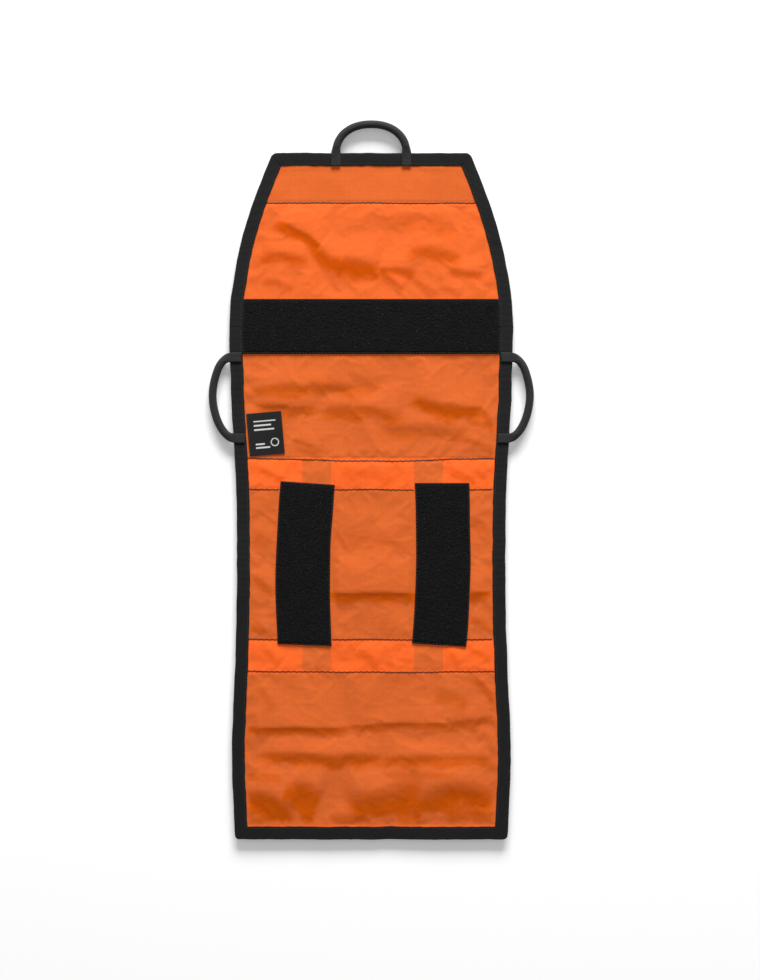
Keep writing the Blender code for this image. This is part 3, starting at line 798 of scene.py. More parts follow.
def pileFinish(name, dark, speck, grain):
    # brushed loops or hooks: near black, with faint lint and a rough, directionless surface
    material, tree, shader, vector, marks = finishBase(name, 0.95, 0.04, 0.12, (70.0, 560.0, 0.9))
    loops = addNode(tree, "ShaderNodeTexVoronoi", {"Vector": vector, "Scale": grain}).outputs["Distance"]
    colour = blendColour(tree, remap(tree, loops, 0.1, 0.8, 0.9, 0.0), dark, speck)
    colour = blendColour(tree, marks["Dust"], colour, paler(speck, 6.0))
    colour = scaledColour(tree, colour, remap(tree, marks["Tone"], 0, 1, 0.75, 1.15))
    height = sums(tree, "SUBTRACT", noiseValue(tree, vector, 1500, 3, 0.7), loops)
    return finishUp(material, tree, shader, colour, height, 0.9, 0.0006)


def threadFinish(name, dark, light):
    # twisted sewing thread: slanting plies from the piece's own object coordinates
    wearValues = (300.0, 2500.0, 0.2)
    material, tree, shader, vector, marks = finishBase(name, 0.62, 0.1, 0.4, wearValues, "object")
    colour = blendColour(tree, marks["Tone"], dark, light)
    return finishUp(material, tree, shader, colour, noiseValue(tree, vector, 2600, 2), 0.5, 0.0001)


def netFinish():
    # knitted net: round holes on a staggered lattice, from the piece's uv in metres
    material, tree, shader, vector, marks = finishBase("pocketNet", 0.75, 0.2, 0.3, (40.0, 1500.0, 0.3))
    split = addNode(tree, "ShaderNodeSeparateXYZ", {0: vector})
    pitch, waves = 0.0019, []
    for operation in ("ADD", "SUBTRACT"):
        slant = sums(tree, operation, split.outputs[0], split.outputs[1])
        waves.append(sums(tree, "SINE", times(tree, slant, math.pi / pitch)))
    cells = sums(tree, "ABSOLUTE", times(tree, waves[0], waves[1]))
    cord = remap(tree, cells, 0.30, 0.44, 1.0, 0.0)
    colour = blendColour(tree, marks["Tone"], (0.010, 0.010, 0.011, 1), (0.022, 0.022, 0.024, 1))
    tree.links.new(cord, shader.inputs["Alpha"])
    return finishUp(material, tree, shader, colour, cord, 0.8, 0.0003)


def mouldedFinish(name, dark, light, roughness, metallic=0.0, scratch=0.0):
    # moulded nylon or painted metal: slow tone, fine grain, and bare scratches
    wearValues = (220.0, 1800.0, 0.2)
    material, tree, shader, vector, marks = finishBase(name, roughness, 0.0, 0.5, wearValues, "object")
    shader.inputs["Metallic"].default_value = metallic
    colour = blendColour(tree, marks["Tone"], dark, light)
    if scratch:
        worn = remap(tree, noiseValue(tree, vector, 500, 6, 0.75, 1.5), 0.58, 0.66, 0, scratch)
        colour = blendColour(tree, worn, colour, (0.30, 0.29, 0.28, 1))
    rough = remap(tree, noiseValue(tree, vector, 700, 3), 0.3, 0.7, roughness - 0.08, roughness + 0.12)
    tree.links.new(rough, shader.inputs["Roughness"])
    return finishUp(material, tree, shader, colour, noiseValue(tree, vector, 1600, 2), 0.25, 0.00008)


def braidFinish():
    # a tight tubular braid: two slanting sets of plies crossing on the cord's own uv
    material, tree, shader, vector, marks = finishBase("handleBraid", 0.72, 0.05, 0.3, (60.0, 1500.0, 0.4))
    split = addNode(tree, "ShaderNodeSeparateXYZ", {0: vector})
    waves = []
    for sign in (1.0, -1.0):
        turns = sums(tree, "MULTIPLY_ADD", split.outputs[1], sign, split.outputs[0])
        waves.append(threadWave(tree, turns, 0.0021))
    plies = sums(tree, "MAXIMUM", waves[0], waves[1])
    tone = times(tree, remap(tree, plies, 0.5, 1.0), remap(tree, marks["Tone"], 0, 1, 0.55, 1.0))
    colour = blendColour(tree, tone, (0.006, 0.006, 0.0062, 1), (0.024, 0.024, 0.0245, 1))
    colour = blendColour(tree, marks["Dust"], colour, (0.09, 0.09, 0.09, 1))
    return finishUp(material, tree, shader, colour, plies, 0.7, 0.0005)


def labelFinish():
    # black woven satin with pale woven bars and a ring, and nothing to read
    material, tree, shader, vector, marks = finishBase("labelSatin", 0.5, 0.04, 0.3, (60.0, 1500.0, 0.3))
    tape = useGroup(tree, ribs, Vector=vector, Rib=0.0005, Thread=0.0004)
    mark = layerValue(tree, "woven")
    broken = remap(tree, tape["Tone"], 0.15, 0.6, 0.55, 1.0)
    tone = remap(tree, tape["Tone"], 0.1, 0.9)
    ground = blendColour(tree, tone, (0.003, 0.003, 0.0032, 1), (0.010, 0.010, 0.011, 1))
    colour = blendColour(tree, times(tree, mark, broken), ground, (0.72, 0.71, 0.69, 1))
    colour = blendColour(tree, marks["Dust"], colour, (0.12, 0.12, 0.12, 1))
    return finishUp(material, tree, shader, colour, sums(tree, "ADD", tape["Height"], mark), 0.5, 0.0001)


finishes = dict(
    cloth=ripstopCloth(),
    # the binding's rounded edge takes painted sheen with some wear
    binding=ribbedFinish("bindingTape", (0.005, 0.0048, 0.0048, 1), (0.016, 0.0154, 0.0154, 1), 0.72, 0.0011,
                         0.0007, sheenWearLayer="worn"),
    webbing=ribbedFinish("nylonWebbing", (0.008, 0.008, 0.009, 1), (0.032, 0.032, 0.034, 1), 0.7, 0.0016,
                         0.0011, 0.0005),
    zipTape=ribbedFinish("zipTape", (0.010, 0.010, 0.011, 1), (0.030, 0.030, 0.032, 1), 0.75, 0.0007, 0.0005),
    loopPile=pileFinish("loopPile", (0.0025, 0.0025, 0.0027, 1), (0.009, 0.009, 0.0095, 1), 900),
    hookPile=pileFinish("hookPile", (0.004, 0.004, 0.0042, 1), (0.018, 0.018, 0.019, 1), 700),
    strand=threadFinish("blackThread", (0.008, 0.008, 0.009, 1), (0.030, 0.030, 0.032, 1)),
    seamStrand=threadFinish("brownThread", (0.016, 0.007, 0.005, 1), (0.045, 0.017, 0.010, 1)),
    net=netFinish(), braid=braidFinish(), label=labelFinish(),
    coil=mouldedFinish("zipNylon", (0.010, 0.010, 0.011, 1), (0.028, 0.028, 0.03, 1), 0.42),
    metal=mouldedFinish("sliderMetal", (0.020, 0.020, 0.022, 1), (0.050, 0.050, 0.053, 1), 0.38, 0.6, 0.7),
)
print("materials:", len(finishes))

# the cloth

clothLook = dict(step=1.25 * mm, thick=0.36 * mm, top=0.25 * mm, tuck=1.6 * mm, columns=205,
                 lowBandEnd=190 * mm, highBandStart=323.5 * mm)


def backingShadeValues(x, station):
    # how much painted shade the cloth takes from what lies behind it: 1 over the mesh pockets and under the sewn
    # strips, 0 on the bare bands between the seams and on the flap
    backedShade = np.zeros(x.shape)
    for pocket in ("lower", "middle", "upper"):
        low, high = stationBox(f"{pocket}_pocket_front")[2], stationBox(f"{pocket}_pocket_header")[3]
        backedShade = np.maximum(backedShade, window(station, low, high, 1.2 * mm))
    # painted shade beyond the rear loop band, and more over the hook strip
    backedShade = np.maximum(backedShade, 0.6 * easing((station - stationBox("rear_loop_band")[3]) / (1.5 * mm)))
    backedShade = np.maximum(backedShade, 0.92 * easing((station - stationBox("closure_hook_strip")[2]) / (1.5 * mm)))
    lowBand = easing((station - foldStation["lower_fold"]) / (1 * mm)) * (station < clothLook["lowBandEnd"])
    band = np.maximum(lowBand, window(station, clothLook["highBandStart"], seamStations[1], 1 * mm))
    # painted shade where a webbing strap lies behind the bands
    webbedShade = [window(x, x0, x1, 1.2 * mm) * band for x0, x1 in webbingSpans()]
    return backedShade, np.maximum(*webbedShade)


def clothPanel(zone):
    # across: from binding to binding; up: from the zone's low to high station; the height is clothRise
    low = max(zone["low"], clothLook["tuck"])
    high = min(zone["high"], panelLength - clothLook["tuck"])
    rows = max(8, round((high - low) / clothLook["step"]) + 1)
    step = (high - low) / (rows - 1)
    # one more row past each end, so that the shading runs on over the cut
    station = np.linspace(low - step, high + step, rows + 2)[:, None] * np.ones((1, clothLook["columns"]))
    across = np.linspace(-1, 1, clothLook["columns"])[None, :]
    x = across * (halfWidth(station) - clothLook["tuck"])
    rise = clothRise(x, station)
    wide = place(x, station, rise + clothLook["top"])
    normals, top = netNormals(wide)[1:-1], wide[1:-1]
    x, station = x[1:-1], station[1:-1]
    bottom = top - (0, 0, clothLook["thick"])
    # painted shade from the mesh, strips and webbing behind the cloth
    backedShade, webbedShade = backingShadeValues(x, station)
    # fold carries the painted shade under the creases
    net = closedSheet(top, bottom, np.stack([x, station], -1), normals, backing=backedShade, webbing=webbedShade,
                      fold=foldShade(x, station))
    piece = meshPiece("cloth_" + zone["name"], [net], [finishes["cloth"]])
    area = float(2 * (halfWidth(station[:, 0]) - clothLook["tuck"]).mean() * (high - low))
    width = float(2 * (halfWidth(station[:, 0]).max() - clothLook["tuck"]))
    return piece, width, high - low, area


clothNodes = dict(lower=("shell_lower", "shell_middle"), middle=("shell_band",), upper=("shell_upper",),
                  spine=("shell_spine",), flap=("shell_flap",))
for zone in zones:
    piece, width, length, area = clothPanel(zone)
    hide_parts(*clothNodes[zone["name"]])
    followZone(piece)
print("cloth panels:", len(zones))

# the binding tape

bindingLook = dict(rise=1.02 * mm, corner=3.5 * mm, stitchLength=2.1 * mm, stitchPitch=2.9 * mm,
                   stitchRadius=0.17 * mm, stitchIn=10.4 * mm, rowStep=2.5 * mm)


def bindingSection():
    # (distance in from the edge, rise) round the folded tape: thin at its inner edges, round at the panel's edge
    w, r = bindingWidth, bindingLook["rise"]
    angle = np.linspace(0.42 * math.pi, 0, 7)
    top = np.array([(w, 0.38 * mm), (w, 0.72 * mm), (w - 0.35 * mm, 0.86 * mm), (w - 1.5 * mm, 0.93 * mm),
                    (w - 4 * mm, r), (w / 2, r), (3.2 * mm, r)])
    nose = np.stack([r * 1.2 * (1 - np.cos(angle)), r * np.sin(angle)], -1)
    upper = np.concatenate([top, nose])
    lower = upper[-2::-1] * (1, -1)
    return np.concatenate([upper, lower])


def edgeWobble(run, d):
    # hand-sewn unevenness of the tape's edges along the panel
    wobble = 0.35 * mm * patchNoise(run, 0.3, 0.03, 71) + 0.22 * mm * patchNoise(run, 0.7, 0.009, 72)
    return wobble + 0.25 * mm * patchNoise(run, 0.9, 0.006, 73) * (d / bindingWidth) ** 3


def cornerCut(away, d):
    # how far a corner's point moves in along both edges, so that the corner is rounded
    radius = bindingLook["corner"]
    return 0.29 * radius * np.clip(1 - away / radius, 0, 1) ** 2 * (1 - d / bindingWidth)


def bindingPart(x, station, d, rise, flip):
    # turns a (rows, section) net into a closed tube part; ribs run along the tape
    net = place(x, station, rise + stiffRise(x, station))
    run = np.linalg.norm(np.diff(net, axis=0), axis=2)
    u = np.concatenate([np.zeros((1, net.shape[1])), np.cumsum(run, axis=0)])
    around = runAlong(np.stack([d, rise[0]], -1))
    uv = np.stack([u, np.broadcast_to(around, u.shape)], -1)
    closed = netNormals(np.concatenate([net[:, -2:-1], net, net[:, 1:2]], 1))[:, 1:-1] * (-1 if flip else 1)
    normals = np.concatenate([closed[:1], closed, closed[-1:]])
    ends = [np.repeat(net[i:i + 1].mean(1, keepdims=True), net.shape[1], 1) for i in (0, -1)]
    net = np.concatenate([ends[0], net, ends[1]])
    uv = np.concatenate([uv[:1], uv, uv[-1:]])
    # painted sheen with some wear, strongest on the tape's rounded outer edge
    worn = np.broadcast_to(np.exp(-(d / (1.2 * mm)) ** 2), net.shape[:2]).ravel()
    return part(net, gridFaces(*net.shape[:2], wrapColumns=True, flip=flip), uv, smooth=endsFlat(net),
                normals=normals, worn=worn)


def sideBinding(side, low, high, lowMitre=False, highMitre=False):
    # the tape along one long edge; each thread of it starts and stops on the cut or on the corner's mitre line
    section = bindingSection()
    d, rise = section[:, 0], section[:, 1]
    first = low + (d if lowMitre else 0) - d * edgeLean(low)[1]
    last = high - (d if highMitre else 0) - d * edgeLean(high)[1]
    rows = max(4, round((high - low) / bindingLook["rowStep"]) + 1)
    t = np.linspace(0, 1, rows)[:, None]
    path = first * (1 - t) + last * t
    inward, upward = edgeLean(path)
    cut = (cornerCut(path - first, d) if lowMitre else 0) + (cornerCut(last - path, d) if highMitre else 0)
    calm = easing((path - first) / (9 * mm)) if lowMitre else easing((last - path) / (9 * mm)) if highMitre else 1
    wobble = edgeWobble(path + 0.5 * side, d) * calm
    x = side * (halfWidth(path) - d * inward - cut + wobble)
    station = path + d * upward + (cut if lowMitre else -cut)
    uneven = np.where(np.abs(rise) > 0.5 * mm, 1 + 0.05 * patchNoise(path, path + d, 0.006, 5), 1)
    rises = np.broadcast_to(rise, x.shape) * uneven
    parts = [bindingPart(x, station, d, rises, flip=side < 0)]
    inset = bindingLook["stitchIn"]
    parts += edgeStitches(side * (halfWidth(path[:, 0]) - inset * inward[:, 0]), path[:, 0] + inset * upward[:, 0],
                          low + (inset if lowMitre else 0), high - (inset if highMitre else 0))
    return parts


def endBinding(station, inwardSign):
    # the tape across the bottom or the top edge, mitred at both corners and lapped just over the side tapes
    section = bindingSection()
    d, rise = section[:, 0], section[:, 1]
    path = station + inwardSign * d - d * edgeLean(station)[1]
    inward, _ = edgeLean(path)
    half = halfWidth(path) - d * inward
    t = np.linspace(-1, 1, round(2 * half.max() / bindingLook["rowStep"]) + 1)[:, None]
    cut = cornerCut((1 - np.abs(t)) * half, d)
    x = t * half - np.sign(t) * cut
    lap = 1 + 0.16 * np.exp(-((1 - np.abs(t)) * half / (7 * mm)) ** 2)
    wobble = edgeWobble(x + 2 * station, d) * easing((1 - np.abs(t)) * half / (9 * mm))
    stations = station + inwardSign * (d + cut - wobble)
    parts = [bindingPart(x, stations, d, rise * lap, flip=inwardSign > 0)]
    inset = bindingLook["stitchIn"]
    run = np.linspace(-1, 1, 200) * (half.min() - 1.5 * mm)
    parts += edgeStitches(run, np.full(200, station + inwardSign * inset), -1, 2)
    # the folded edge along each mitre
    near, far = 1.8 * mm, bindingWidth - 0.6 * mm
    lower = slice(-len(d) // 2, None)
    for side in (-1, 1):
        a, b = (np.array([side * np.interp(deep, d[lower], half[lower]), station + inwardSign * deep])
                for deep in (near, far))
        centre = place(*(a + b) / 2, bindingLook["rise"] * 1.08 + stiffRise(*(a + b) / 2))[None]
        parts.append(capsules(centre, (*(b - a), 0.0), up, float(np.hypot(*(b - a))), 0.45 * mm, 0.5, sides=8))
    return parts


def edgeStitches(x, station, low, high):
    # a row of short stitches along the tape, on both faces
    line = place(x, station, stiffRise(x, station))
    line = line[(station >= low) & (station <= high)]
    if len(line) < 3:
        return []
    centres, headings = stitchPlaces(line, bindingLook["stitchPitch"] / 2, bindingLook["stitchPitch"], 0.5 * mm)
    return [capsules(centres + sign * 0.93 * mm * up, headings, sign * up, bindingLook["stitchLength"],
                     bindingLook["stitchRadius"], material=1) for sign in (1, -1)]


tapeMaterials = [finishes["binding"], finishes["strand"]]
for zone in zones:
    first, last = zone is zones[0], zone is zones[-1]
    sides = {side: sideBinding(side, zone["low"], zone["high"], first, last) for side in (-1, 1)}
    if first or last:
        end = endBinding(0.0, 1) if first else endBinding(panelLength, -1)
        loop = meshPiece("binding_tape_" + zone["name"], sides[-1] + end + sides[1], tapeMaterials)
        if first:
            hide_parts("binding_bottom", "binding_lower_left", "binding_lower_right",
                        "binding_middle_left", "binding_middle_right")
        else:
            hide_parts("binding_flap_left", "binding_flap_right", "binding_top")
        followZone(loop)
        continue
    for word, side in (("left", -1), ("right", 1)):
        tape = meshPiece(f"binding_tape_{zone['name']}_{word}", sides[side], tapeMaterials)
        taped = dict(middle=f"binding_band_{word}", upper=f"binding_upper_{word}", spine=f"binding_spine_{word}")
        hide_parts(taped[zone["name"]])
        followZone(tape)
print("binding tapes made")

# hook and loop strips

stripLook = dict(step=0.85 * mm, selvedge=1.7 * mm, pile=0.45 * mm, fuzz=0.16 * mm, wave=0.7 * mm,
                 stitchIn=1.0 * mm)


def pileStrip(name, node, body, material, upward=1, lean=(0, 0, 0), tilt=(0, 0), follow=None):
    # a flat tape with a raised, uneven pile inside plain selvedges, and a line of stitches round it
    low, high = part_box(node)
    x0, x1, s0, s1 = stationBox(node)
    columns, rows = round((x1 - x0) / stripLook["step"]) + 1, round((s1 - s0) / stripLook["step"]) + 1
    station, t = evenNet((s0, s1, rows), (0, 1, columns))
    if follow is not None:
        x0, x1 = -follow(station), follow(station)
    side, run = 2 * t - 1, (station - s0) / (s1 - s0)
    margin = np.minimum(np.minimum(t, 1 - t) * (x1 - x0), np.minimum(station - s0, s1 - station))
    # the strip leans and bows a little, and its ends aren't cut quite square
    sway = stripLook["wave"] * patchNoise(side * 0.3, station, 0.05, len(name)) * (follow is None)
    x = x0 + (x1 - x0) * t + sway + (lean[0] + lean[1] * run + lean[2] * run ** 2) * mm
    station = station + side * (tilt[0] * (1 - run) + tilt[1] * run) * mm
    raised = easing((margin - stripLook["selvedge"]) / (0.8 * mm))
    fuzz = np.random.default_rng(len(name)).normal(0, stripLook["fuzz"], x.shape)
    thick = high.z - low.z
    face = (thick - stripLook["pile"]) * easing(margin / (0.3 * mm) + 0.35) + raised * (stripLook["pile"] + fuzz)
    ground = (low.z if upward > 0 else high.z) - middleZ
    base = ground + stiffRise(x, station)
    parts = [layered(x, station, *(base + upward * face, base)[::upward])]
    # stitches round the selvedge, from corner to corner of the (t, run) square
    corners = np.array([(0, 0), (1, 0), (1, 1), (0, 1), (0, 0)])
    u = np.linspace(0, 1, 60, endpoint=False)[:, None]
    loop = np.concatenate([a + (b - a) * u for a, b in zip(corners, corners[1:])])
    nearest = np.round(loop[:, 1] * (rows - 1)).astype(int), np.round(loop[:, 0] * (columns - 1)).astype(int)
    lx, ls = x[nearest], station[nearest]
    centreX, centreS = (lx.min() + lx.max()) / 2, (s0 + s1) / 2
    inset = np.where(np.minimum(loop, 1 - loop) < 0.02, stripLook["stitchIn"], 0)
    lx, ls = lx - np.sign(lx - centreX) * inset[:, 0], ls - np.sign(ls - centreS) * inset[:, 1]
    rise = ground + upward * (thick - stripLook["pile"] + 0.05 * mm)
    line = place(lx, ls, rise + stiffRise(lx, ls))
    parts.append(capsules(*stitchPlaces(line, 1.5 * mm, 3.0 * mm, 0.6 * mm), upward * up, 2.1 * mm, 0.17 * mm,
                          material=1))
    ridingPiece(name, parts, [material, finishes["strand"]], node, body)


def insideBinding(station):
    # half the width between the binding's inner edges, less a little room
    return halfWidth(station) - bindingWidth - 0.5 * mm


def overBinding(station):
    # half the width of a strip whose ends lie just on the binding
    return halfWidth(station) - bindingWidth + 0.4 * mm


pileStrip("loop_strip_left", "closure_loop_left", "middle", finishes["loopPile"],
          lean=(-0.5, -8.0, 11.3), tilt=(-0.9, -1.7))
pileStrip("loop_strip_right", "closure_loop_right", "middle", finishes["loopPile"],
          lean=(-1.4, 13.6, -11.0), tilt=(-1.7, 0.0))
pileStrip("loop_band_rear", "rear_loop_band", "upper", finishes["loopPile"], follow=overBinding)
pileStrip("hook_strip_flap", "closure_hook_strip", "flap", finishes["hookPile"], upward=-1,
          follow=insideBinding)
print("hook and loop strips made")

# cross seams

seamLook = dict(pitch=2.6 * mm, length=3.0 * mm, radius=0.45 * mm, zigzag=0.2 * mm)


def crossSeam(name, station, halfSpan, gaps=(), sag=0.0):
    # a row of slanting stitches across the cloth, sunk in its groove and following its height, on both faces
    x = np.arange(-halfSpan, halfSpan, seamLook["pitch"])
    for low, high in gaps:
        x = x[(x < low) | (x > high)]
    wander = 0.5 * mm * patchNoise(x, x * 0, 0.03, 41) - sag * np.cos(x / halfSpan * math.pi / 2) ** 2
    s = station + wander + seamLook["zigzag"] * 0.5 * (-1) ** np.arange(len(x))
    stepX, stepS = 0.5 * seamLook["length"], seamLook["zigzag"] * (-1.0) ** np.arange(len(x))
    tail, head = (place(ex, es, clothRise(ex, es)) for ex, es in ((x - stepX, s - stepS), (x + stepX, s + stepS)))
    faces = ((1, clothLook["top"] + 0.10 * mm, 1), (-1, clothLook["top"] - clothLook["thick"] - 0.05 * mm, 0.7))
    rows = [capsules((tail + head) / 2 + rise * up, head - tail, sign * up, seamLook["length"],
                     seamLook["radius"] * share) for sign, rise, share in faces]
    return meshPiece(name, rows, [finishes["seamStrand"]])


stripSpans = [stationBox("closure_loop_left")[:2], stationBox("closure_loop_right")[:2]]
# name, gaps, sag, and the body or the zone that the seam follows
seams = (("seam_flap", (), 0.0, "flap", None), ("seam_upper_pocket", (), 2.4 * mm, None, "upper"),
         ("seam_middle_pocket_high", stripSpans, 0.0, "middle", None),
         ("seam_middle_pocket_low", stripSpans, 0.0, "middle", None),
         ("seam_lower_pocket", (), 0.6 * mm, None, "lower"))
for station, (name, gaps, sag, bodyName, zoneName) in zip(seamStations, seams):
    seam = crossSeam(name, station, float(insideBinding(station)), gaps, sag)
    if bodyName:
        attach(seam, bodyName)
    else:
        followZone(seam)
print("cross seams made")

# handles

handleLook = dict(radius=(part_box("handle_top")[1].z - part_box("handle_top")[0].z) / 2, tabThick=1.1 * mm, sides=20,
                  tabHalf=4.4 * mm, tabPoints=12,
                  top=dict(power=0.92, tab=(-bindingWidth - 0.3 * mm, -1.5 * mm)),
                  side=dict(power=1.06, tab=(-bindingWidth + 1.0 * mm, -bindingWidth + 10.0 * mm)))


def looseHandle(name, node, anchors, upright):
    # the cord rises round from two flat sewn tabs: its section goes from a flat strip to a full round
    low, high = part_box(node)
    axis, r, halfTab = 0 if upright else 1, handleLook["radius"], handleLook["tabThick"] / 2
    half, mid = (high[axis] - low[axis]) / 2 - r, (low[axis] + high[axis]) / 2
    feet = [sum(corner[axis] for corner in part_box(anchor)) / 2 for anchor in anchors]
    side = 1 if upright or low.x > 0 else -1
    edge = panelLength + bottomY if upright else float(halfWidth(mid - bottomY))
    out = (high.y if upright else max(abs(low.x), abs(high.x))) - edge - r
    look, count = handleLook["top" if upright else "side"], handleLook["tabPoints"]
    # the bow: a superellipse from one foot over the top to the other
    angle, tab = np.linspace(math.pi, 0, 57), np.linspace(*look["tab"], count)
    bow = mid + half * signedPower(np.cos(angle), look["power"]), out * np.sin(angle) ** look["power"]
    points = np.stack([np.concatenate([np.full(count, feet[0]), bow[0], np.full(count, feet[1])]),
                       np.concatenate([tab, bow[1], tab[::-1]])], -1)
    # even steps and a light smoothing round off where the tabs turn into the bow
    run = runAlong(points)
    even = np.linspace(0, run[-1], 150)
    bell = np.hanning(11) / np.hanning(11).sum()
    padded = np.pad(alongLine(points, run, even), ((5, 5), (0, 0)), mode="reflect", reflect_type="odd")
    along, outs = (np.convolve(padded[:, k], bell, mode="valid") for k in range(2))
    # flat over the binding, full and round beyond it
    fullness = easing((outs + 1.0 * mm) / (7.5 * mm))
    lift = (1 - fullness) * (bindingLook["rise"] + halfTab + 0.12 * mm)
    x, y = (along, edge + outs) if upright else (side * (halfWidth(along - bottomY) + outs), along)
    path = np.stack([x, y, middleZ + lift + (1 - fullness) * stiffRise(x, y - bottomY)], -1)
    cosine, sine = circle(handleLook["sides"])
    flatPower = (0.45 + 0.55 * fullness)[:, None]
    wide = (handleLook["tabHalf"] + (r - handleLook["tabHalf"]) * fullness)[:, None]
    pinch = 0.55 + 0.45 * easing(np.minimum(even, run[-1] - even) / (1.2 * mm))
    deep = ((halfTab + (r - halfTab) * fullness) * pinch)[:, None]
    section = np.stack([wide * signedPower(cosine, flatPower), deep * signedPower(sine, flatPower)], -1)
    parts = [tube(path, up, section)]
    # dense bar stitching over each tab
    for foot in feet:
        for row in np.arange(-3, 3.1, 1.0):
            lines = foot + np.arange(-3.2, 3.3, 0.8) * mm
            if upright:
                cx, cy = lines, np.full(len(lines), edge - bindingWidth / 2 + (row + 1.6) * mm)
            else:
                cx, cy = side * (halfWidth(lines - bottomY) - bindingWidth + (5.8 + row * 0.9) * mm), lines
            top = middleZ + bindingLook["rise"] + 2 * halfTab + 0.13 * mm + stiffRise(cx, cy - bottomY)
            heading = (1.0, 0.25, 0) if upright else (0.25, 1.0, 0)
            parts.append(capsules(np.stack([cx, cy, top], -1), heading, up, 1.0 * mm, 0.16 * mm, material=1))
    piece = meshPiece(name, parts, [finishes["braid"], finishes["strand"]])
    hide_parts(node, *anchors)
    return piece


anchors = ("handle_top_anchor_left", "handle_top_anchor_right")
topHandle = looseHandle("cord_handle_top", "handle_top", anchors, True)
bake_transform(topHandle)
for word, side in (("left", -1), ("right", 1)):
    anchors = (f"handle_{word}_anchor_low", f"handle_{word}_anchor_high")
    grip = looseHandle(f"cord_handle_{word}", f"handle_{word}", anchors, False)
    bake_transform(grip)
print("handles made")

# care label

# each bar is its level, start and stop, as shares of the label from its middle
labelLook = dict(width=32.4 * mm, height=39.5 * mm, turn=math.radians(5), thick=0.35 * mm, curl=1.0 * mm,
                 bars=((0.30, -0.32, 0.32), (0.20, -0.32, 0.18), (0.10, -0.32, 0.26), (-0.24, -0.30, -0.04),
                       (-0.32, -0.30, 0.10)))


def careLabel():
    # a small satin rectangle sewn down along its left edge, its free side lifting, woven with bars and a ring
    low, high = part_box("care_label")
    centre = (low + high) / 2
    v, u = evenNet((-0.5, 0.5, 110), (-0.5, 0.5, 90))
    px, py = u * labelLook["width"], v * labelLook["height"]
    cosine, sine = math.cos(labelLook["turn"]), math.sin(labelLook["turn"])

    def turned(px, py):
        # a place on the label, turned with it
        return centre.x + px * cosine - py * sine, centre.y + px * sine + py * cosine

    x, y = turned(px, py)
    free = easing((u + 0.5) * 1.1)
    rise = labelLook["curl"] * free ** 2 * (0.6 + 0.4 * np.sin(v * 5 + 0.6))
    rise = rise + 0.12 * mm * patchNoise(px, py, 0.012, 51)
    base = low.z - middleZ + stiffRise(x, y - bottomY) + rise + 0.05 * mm
    woven = np.zeros(u.shape)
    for level, start, stop in labelLook["bars"]:
        woven = np.maximum(woven, (np.abs(v - level) < 0.016) * (u > start) * (u < stop))
    ring = np.abs(np.hypot(px - 8 * mm, py + 8.5 * mm) - 3.4 * mm)
    woven = np.maximum(woven, ring < 0.45 * mm)
    top = place(x, y - bottomY, base + labelLook["thick"])
    bottom = place(x, y - bottomY, base)
    parts = [closedSheet(top, bottom, np.stack([px, py], -1), woven=woven)]
    sx, sy = turned(-0.465 * labelLook["width"], np.arange(-0.46, 0.47, 0.062) * labelLook["height"])
    z = low.z + stiffRise(sx, sy - bottomY) + labelLook["thick"] + 0.12 * mm
    parts.append(capsules(np.stack([sx, sy, z], -1), (-sine, cosine, 0), up, 1.9 * mm, 0.17 * mm, material=1))
    piece = meshPiece("care_label_satin", parts, [finishes["label"], finishes["strand"]])
    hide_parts("care_label")
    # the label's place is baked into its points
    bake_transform(piece)
    return piece


label = careLabel()
print("label made")

# webbing straps under the bands

webbingLook = dict(step=1.5 * mm, thick=0.8 * mm)


def webbingStrap(name, node, low, high):
    # a flat woven strap just under the cloth, crowned across its width
    corner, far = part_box(node)
    station, t = evenNet((low, high, round((high - low) / webbingLook["step"]) + 1), (-1, 1, 21))
    x = (corner.x + far.x) / 2 + t * (far.x - corner.x) / 2
    crown = 0.12 * mm * (1 - t ** 4)
    base = far.z - middleZ + stiffRise(x, station)
    top = place(x, station, base)
    bottom = place(x, station, base - webbingLook["thick"] + 0.12 * mm - crown)
    uv = np.stack([station, x], -1)
    return meshPiece(name, [closedSheet(top, bottom, uv)], [finishes["webbing"]])


for word in ("left", "right"):
    cutAt = zoneByName["middle"]["high"]
    for length, low, high, zoneName in (("middle", foldStation["lower_fold"] + 1.2 * mm, cutAt, "middle"),
                                        ("band", cutAt, seamStations[1] - 0.6 * mm, "upper")):
        strap = webbingStrap(f"strap_{length}_{word}", f"webbing_{length}_{word}", low, high)
        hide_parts(f"webbing_{length}_{word}")
        followZone(strap)
print("webbing made")

# the pocket side

pocketLook = dict(net=0.35 * mm, netStep=3.0 * mm, toothPitch=1.25 * mm, tape=0.4 * mm)


def lowerSheet(node, low, high, bodyName, name, material, thick, drop=0.0, inset=0.0):
    # a sheet on the pocket side inside the binding, hanging a little between its sewn edges
    zLow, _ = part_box(node)
    station, t = evenNet((low, high, max(5, round((high - low) / pocketLook["netStep"]) + 1)), (-1, 1, 81))
    x = t * (insideBinding(station) - inset)
    sag = np.sin(math.pi * (station - low) / (high - low)) * (1 - t ** 6)
    rim = np.minimum((1 - np.abs(t)) * x.max(), np.minimum(station - low, high - station))
    hang = easing(rim / (4 * mm))
    level = (-0.75 * mm) * (1 - hang) + (zLow.z - middleZ + thick) * hang - drop * sag * hang
    level = level + underRise(x, station) + 0.25 * mm * patchNoise(x, station, 0.02, 61) * hang
    level = np.maximum(level, -middleZ + 1.0 * mm)
    return ridingPiece(name, [layered(x, station, level, level - thick)], [material], node, bodyName)


